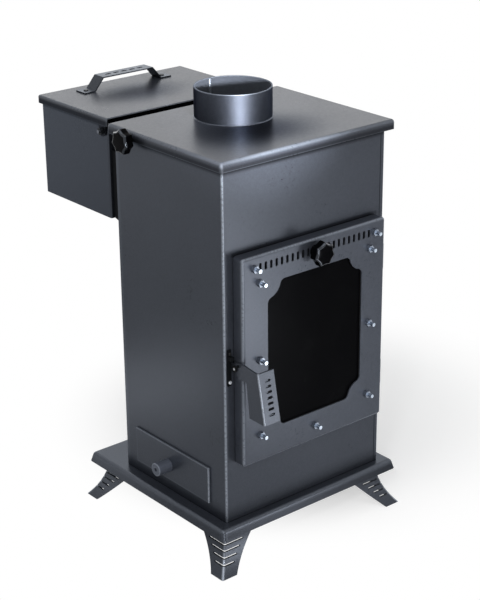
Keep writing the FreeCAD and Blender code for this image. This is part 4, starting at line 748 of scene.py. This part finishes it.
def star_knob(name, node, body, axis):
    """A moulded knob with seven points, rounded rims and a flat face, its foot against the sheet."""
    low, high = (Vector(corner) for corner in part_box(node))
    middle = (low + high) / 2.0
    length = high[axis] - low[axis]
    outward = Vector([-1.0 if part == axis else 0.0 for part in (X, Y, Z)])
    foot = middle - outward * (length / 2.0)
    side = UP.cross(outward)
    hub_length = length - KNOB_THICK

    def pointed(travel, turn):
        hollow = KNOB_HOLLOW if travel > hub_length - KNOB_FILLET / 2.0 else 0.0
        reach = 1.0 - hollow / KNOB_RADIUS * abs(math.sin(turn * KNOB_POINTS / 2.0))
        return reach * math.sin(turn), reach * math.cos(turn)

    stations = [(foot + outward * along, side * radius, UP * radius)
                for along, radius in knob_profile(hub_length)]
    knob = sweep_mesh(name, stations, pointed, KNOB_SIDES, False)
    knob.data.materials.append(knob_face)
    knob.data.materials.append(knob_edge)
    for face in knob.data.polygons:
        if face.index // KNOB_SIDES in RIM_ROWS:
            face.material_index = 1
    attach(knob, body)
    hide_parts(node)


star_knob("slider_star", "slider_knob", "slider", Y)

# Door seal: a flat frame of sheet inside the pan and a braided glass-fibre rope glued to it,
# pressed to an oval, that meets the front of the body when the door is shut.
coat(fire_steel("frame_steel", soot=0.4), "gasket_frame")
ROPE_INSET = 0.004
ROPE_CORNER = 0.006
ROPE_STEP = 0.0018
ROPE_SIDES = 20
ROPE_HALF_WIDE = 0.0039
ROPE_HALF_THICK = 0.0069
STRANDS = 6
STRAND_PROUD = 0.14
BRAID_PITCH = 0.030


def rope_section(travel, turn):
    """An oval rope: strands wind both ways round it and stand proud where they cross."""
    right = abs(math.cos(STRANDS / 2.0 * turn + math.tau * travel / BRAID_PITCH))
    left = abs(math.cos(STRANDS / 2.0 * turn - math.tau * travel / BRAID_PITCH))
    swell = 1.0 - STRAND_PROUD + STRAND_PROUD * max(right, left)
    return ROPE_HALF_WIDE * swell * math.cos(turn), ROPE_HALF_THICK * swell * math.sin(turn)


rope_stations = framed_loop(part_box("door_gasket"), ROPE_INSET, ROPE_CORNER, ROPE_STEP)
rope = sweep_mesh("door_rope", rope_stations, rope_section, ROPE_SIDES, True)
braid = woven("seal_rope", dark=(0.20, 0.195, 0.18, 1.0), pale=(0.46, 0.45, 0.42, 1.0), pitch=0.0032)
rope.data.materials.append(braid)
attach(rope, "door")
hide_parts("door_gasket")

# Hinges: two pairs of bent leaves on the right side, rolled into knuckles round plain pins.
# The leaves are painted as the body is, and the pins are zinc-plated.
coat(stove_paint("hinge_paint"), "hinge_body_leaves", "hinge_door_leaves")
coat(zinc, "hinge_pins")

# Latch: a bent lever of painted sheet that turns on a black pin in the door's left side, and
# whose nose hooks a small black keeper on the body. The grip has a row of plain slots; its fold,
# the end of the pin and the lower of the keeper's two screws carry a painted highlight.
lever_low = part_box("latch_lever")[0]
LEVER_LEAN = 0.015 / 0.077
LEVER_FOLD_EDGES = (0.0012, 0.0032)
LEVER_FOLD_PALE = 0.55


def lever_fold(parts):
    """A painted highlight along the leaning fold between the lever's side and its grip."""
    front = lever_low[Y] + (parts[Z] - lever_low[Z]) * LEVER_LEAN
    gap = abs(parts[Y] - front).most(abs(parts[X] - lever_low[X]))
    return gap.fall(*LEVER_FOLD_EDGES) * LEVER_FOLD_PALE


coat(stove_paint("lever_paint", lever_fold), "latch_lever")
# Black paint that stands in part for the shade round the keeper.
coat(black_paint_and_shade, "latch_nose", "latch_keeper")
screw_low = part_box("keeper_screws")[0]
between_screws = (screw_low[Z] + 0.010, screw_low[Z] + 0.020)
SCREW_BRIGHT = (0.70, 0.73, 0.78, 1.0)
screw_steel, shader, point = new_finish("keeper_screw_steel", Metallic=0.4)
parts = parts_of(point)
# Painted highlight: the lower screw is bright, the upper one black.
lower_screw_highlight = parts[Z].fall(*between_screws) * (0.8 + grain(point, scale=900.0) * 0.2)
feed(shader, Base_Color=lower_screw_highlight.mix(PAINT_SHADE, SCREW_BRIGHT), Roughness=0.5 - lower_screw_highlight * 0.2)
coat(screw_steel, "keeper_screws")


def off_axis(parts, low, high):
    """The distance from the line that runs left and right through the middle of a box."""
    return distance(parts[Y] - (low[Y] + high[Y]) / 2.0, parts[Z] - (low[Z] + high[Z]) / 2.0)


pivot_low, pivot_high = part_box("latch_pivot")
PIVOT_BLACK = (0.004, 0.004, 0.005, 1.0)
PIVOT_BRIGHT = (0.80, 0.83, 0.88, 1.0)
PIVOT_HIGHLIGHT_REACH = (0.0012, 0.0024)
pivot_finish, shader, point = new_finish("pivot_black", Specular_IOR_Level=0.2)
parts = parts_of(point)
# Painted highlight at the end of the pin, round its axis.
pivot_highlight = off_axis(parts, pivot_low, pivot_high).fall(*PIVOT_HIGHLIGHT_REACH)
wear = grain(point, scale=700.0)
feed(shader, Base_Color=pivot_highlight.mix(PIVOT_BLACK, PIVOT_BRIGHT), Metallic=pivot_highlight * 0.3,
     Roughness=0.26 + wear * 0.15)
coat(pivot_finish, "latch_pivot")

# Ash drawer: a bare steel tray that slides out through the left wall on two bent runners, with
# a painted front panel and a turned black knob drilled up its middle.
drawer_low, drawer_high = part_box("drawer_front")
knob_low, knob_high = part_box("drawer_knob")
knob_reach = (knob_high[Z] - knob_low[Z]) / 2.0
knob_end = (knob_low[X] + 0.001, knob_low[X] + 0.002)
knob_turned = (knob_reach - 0.0022, knob_reach - 0.0012)
KNOB_RIM_PALE = 0.22
DRAWER_EDGE = 0.003


def drawer_edges(parts):
    """A painted highlight along the drawer's front and top edges, and a faint one on the others."""
    face = (X, drawer_low[X])
    front = near(parts, [((Y, drawer_low[Y]), face)], DRAWER_EDGE, strength=0.75)
    top = near(parts, [((Z, drawer_high[Z]), face)], DRAWER_EDGE, strength=0.28)
    rest = [((Y, drawer_high[Y]), face), ((Z, drawer_low[Z]), face)]
    others = near(parts, rest, DRAWER_EDGE, strength=0.05)
    return front.most(top).most(others)


def knob_rim(parts):
    """A painted highlight on the turned edge at the knob's free end."""
    rim = off_axis(parts, knob_low, knob_high).fade(*knob_turned)
    return parts[X].fall(*knob_end) * rim * KNOB_RIM_PALE


coat(stove_paint("drawer_paint", drawer_edges), "drawer_front")
coat(stove_paint("turned_paint", knob_rim, tone=2.4), "drawer_knob")
coat(zinc, "drawer_screw")
coat(fire_steel("drawer_steel", soot=0.45), "drawer_tray", "drawer_runners")

# Damper: a round flap on a plain shaft across the smoke chamber, both of bare steel dulled by
# soot. The upper star knob, on the shaft's left end, turns it.
coat(fire_steel("damper_steel", soot=0.7), "damper_shaft", "damper_flap")
star_knob("damper_star", "damper_knob", "damper", X)

# Floor: a pale seamless ground that keeps the stove's shadow and fades into the white backdrop
# a step away from it.
WHITE = (1.0, 1.0, 1.0, 1.0)
BLACK = (0.0, 0.0, 0.0, 1.0)
GROUND_PALE = (0.90, 0.90, 0.90, 1.0)
SHADOW_CENTRE = (0.31, 0.12, 0.0)
SHADOW_REACH = (0.20, 0.50)
GLOSS_REACH = (1.25, 2.3)
FLOOR_LIFT = (0.28, 0.28, 0.28, 1.0)
floor_half = 8.0
floor_corners = [(side * floor_half, row * floor_half, 0.0)
                 for side, row in ((-1, -1), (1, -1), (1, 1), (-1, 1))]
floor_mesh = bpy.data.meshes.new("studio_floor")
floor_mesh.from_pydata(floor_corners, [], [(0, 1, 2, 3)])
floor = bpy.data.objects.new("studio_floor", floor_mesh)
bpy.context.scene.collection.objects.link(floor)


def backdrop_rays(wire):
    """1 for the camera's rays, and 1 for all that see the white backdrop: those of gloss and glass too."""
    outputs = wire.node("ShaderNodeLightPath").socket.node.outputs
    camera_ray = Wire(wire.tree, outputs["Is Camera Ray"])
    glossy_ray = Wire(wire.tree, outputs["Is Glossy Ray"])
    passing_ray = Wire(wire.tree, outputs["Is Transmission Ray"])
    return camera_ray, camera_ray.most(glossy_ray).most(passing_ray)


ground, shader, point = new_finish("studio_ground", Base_Color=GROUND_PALE, Roughness=1.0,
                                   Specular_IOR_Level=0.0, Emission_Strength=1.0)
camera_ray, seen = backdrop_rays(point)
feed(shader, Emission_Color=camera_ray.mix(BLACK, FLOOR_LIFT))
away = point.node("ShaderNodeVectorMath", {"operation": "DISTANCE"}, {0: point, 1: SHADOW_CENTRE}, "Value")
whiter = (away.fade(*SHADOW_REACH) * camera_ray).most(away.fade(*GLOSS_REACH) * seen)
lit = Wire(point.tree, shader.outputs[0])
plain_white = point.node("ShaderNodeEmission", inputs={"Color": WHITE, "Strength": 1.0})
faded = point.node("ShaderNodeMixShader", inputs={0: whiter, 1: lit, 2: plain_white})
point.tree.links.new(faded.socket, point.tree.nodes["Material Output"].inputs["Surface"])
floor_mesh.materials.append(ground)

# Studio: a white world for what the camera and the gloss see and a softer one for its light,
# with a broad sun and soft boxes round the stove. One small bright box, key_high, makes the
# hard sparkle on knobs and edges, and a narrow spot lights the collar.
FILL_COLOUR = (0.96, 0.98, 1.0, 1.0)
FILL_LEVEL = 0.08
world = bpy.data.worlds.new("studio")
bpy.context.scene.world = world
world.use_nodes = True
world.node_tree.nodes.clear()
wire = Wire(world.node_tree)
_, seen = backdrop_rays(wire)
fill = wire.node("ShaderNodeBackground", inputs={"Color": FILL_COLOUR, "Strength": FILL_LEVEL})
white = wire.node("ShaderNodeBackground", inputs={"Color": WHITE, "Strength": 1.0})
backdrop = wire.node("ShaderNodeMixShader", inputs={0: seen, 1: fill, 2: white})
shown = wire.tree.nodes.new("ShaderNodeOutputWorld")
wire.tree.links.new(backdrop.socket, shown.inputs["Surface"])


def light_up(name, lamp, place, target):
    """Hang a lamp at a place, turned to its target and hidden from the camera."""
    item = bpy.data.objects.new(name, lamp)
    item.location = place
    item.rotation_euler = (Vector(target) - Vector(place)).to_track_quat("-Z", "Y").to_euler()
    item.visible_camera = False
    bpy.context.scene.collection.objects.link(item)


def softbox(name, place, target, size, power):
    lamp = bpy.data.lights.new(name, "AREA")
    lamp.shape = "RECTANGLE"
    lamp.size, lamp.size_y = size
    lamp.energy = power
    light_up(name, lamp, place, target)


sun = bpy.data.lights.new("broad_sun", "SUN")
sun.energy = 0.9
sun.angle = math.radians(70.0)
light_up("broad_sun", sun, place=(-0.9, -0.6, 2.0), target=(0.0, 0.0, 0.0))
softbox("overhead", place=(-0.2, -0.2, 2.4), target=(0.0, 0.0, 0.0), size=(1.8, 1.8), power=3.0)
softbox("key_high", place=(-0.95, -1.08, 1.10), target=(-0.1, -0.15, 0.4), size=(0.13, 0.13), power=4.0)
softbox("front_high", place=(-0.3, -1.2, 1.5), target=(-0.15, -0.2, 0.5), size=(0.5, 0.5), power=2.0)
softbox("front_low", place=(0.36, -0.98, 0.06), target=(-0.15, -0.2, 0.45), size=(0.30, 0.7), power=3.6)
softbox("front_floor", place=(0.20, -0.68, 0.04), target=(-0.15, -0.2, 0.25), size=(0.20, 0.3), power=0.5)
softbox("camera_low", place=(-0.48, -1.42, 0.09), target=(-0.05, -0.1, 0.5), size=(0.40, 0.35), power=5.2)
softbox("left_low", place=(-0.42, 0.30, 0.03), target=(-0.16, 0.0, 0.15), size=(0.2, 0.15), power=0.10)
softbox("rear_high", place=(1.0, 1.3, 1.3), target=(0.0, 0.0, 0.65), size=(1.4, 0.9), power=3.4)
softbox("right_side", place=(1.8, -0.1, 0.9), target=(0.1, -0.05, 0.35), size=(0.9, 0.9), power=6.0)
softbox("rear_side", place=(0.2, 2.0, 0.9), target=(0.0, 0.1, 0.4), size=(0.9, 0.9), power=6.0)

snoot = bpy.data.lights.new("collar_snoot", "SPOT")
snoot.energy = 2000.0
snoot.color = (0.95, 0.97, 1.0)
snoot.spot_size = math.radians(5.2)
snoot.spot_blend = 0.5
snoot.shadow_soft_size = 0.10
snoot_aim = 0.045
collar_middle = collar_centre + UP * snoot_aim
light_up("collar_snoot", snoot, place=(-0.62, -1.70, 0.88), target=collar_middle)

# Camera: it stands where the photograph was taken from, above the top plate and to the left,
# with a long lens. Its directions were fitted to the stove's straight edges.
camera = bpy.data.cameras.new("camera")
camera.sensor_width = 36.0
camera.sensor_fit = "AUTO"
camera.lens = 95.2
camera.clip_end = 50.0
eye = bpy.data.objects.new("camera", camera)
ahead = Vector((0.5881, 0.7148, -0.3783)).normalized()
rightward = Vector((0.7694, -0.6387, -0.0099))
upward = rightward.cross(ahead).normalized()
across = ahead.cross(upward).normalized()
body_middle = (body_low[Y] + body_high[Y]) / 2.0
stand = Vector((-1.4779, body_middle - 1.7676, body_low[Z] + 1.2273))
eye.matrix_world = Matrix.Translation(stand) @ Matrix((across, upward, -ahead)).transposed().to_4x4()
bpy.context.scene.collection.objects.link(eye)
bpy.context.scene.camera = eye
bpy.context.scene.view_settings.view_transform = "Standard"
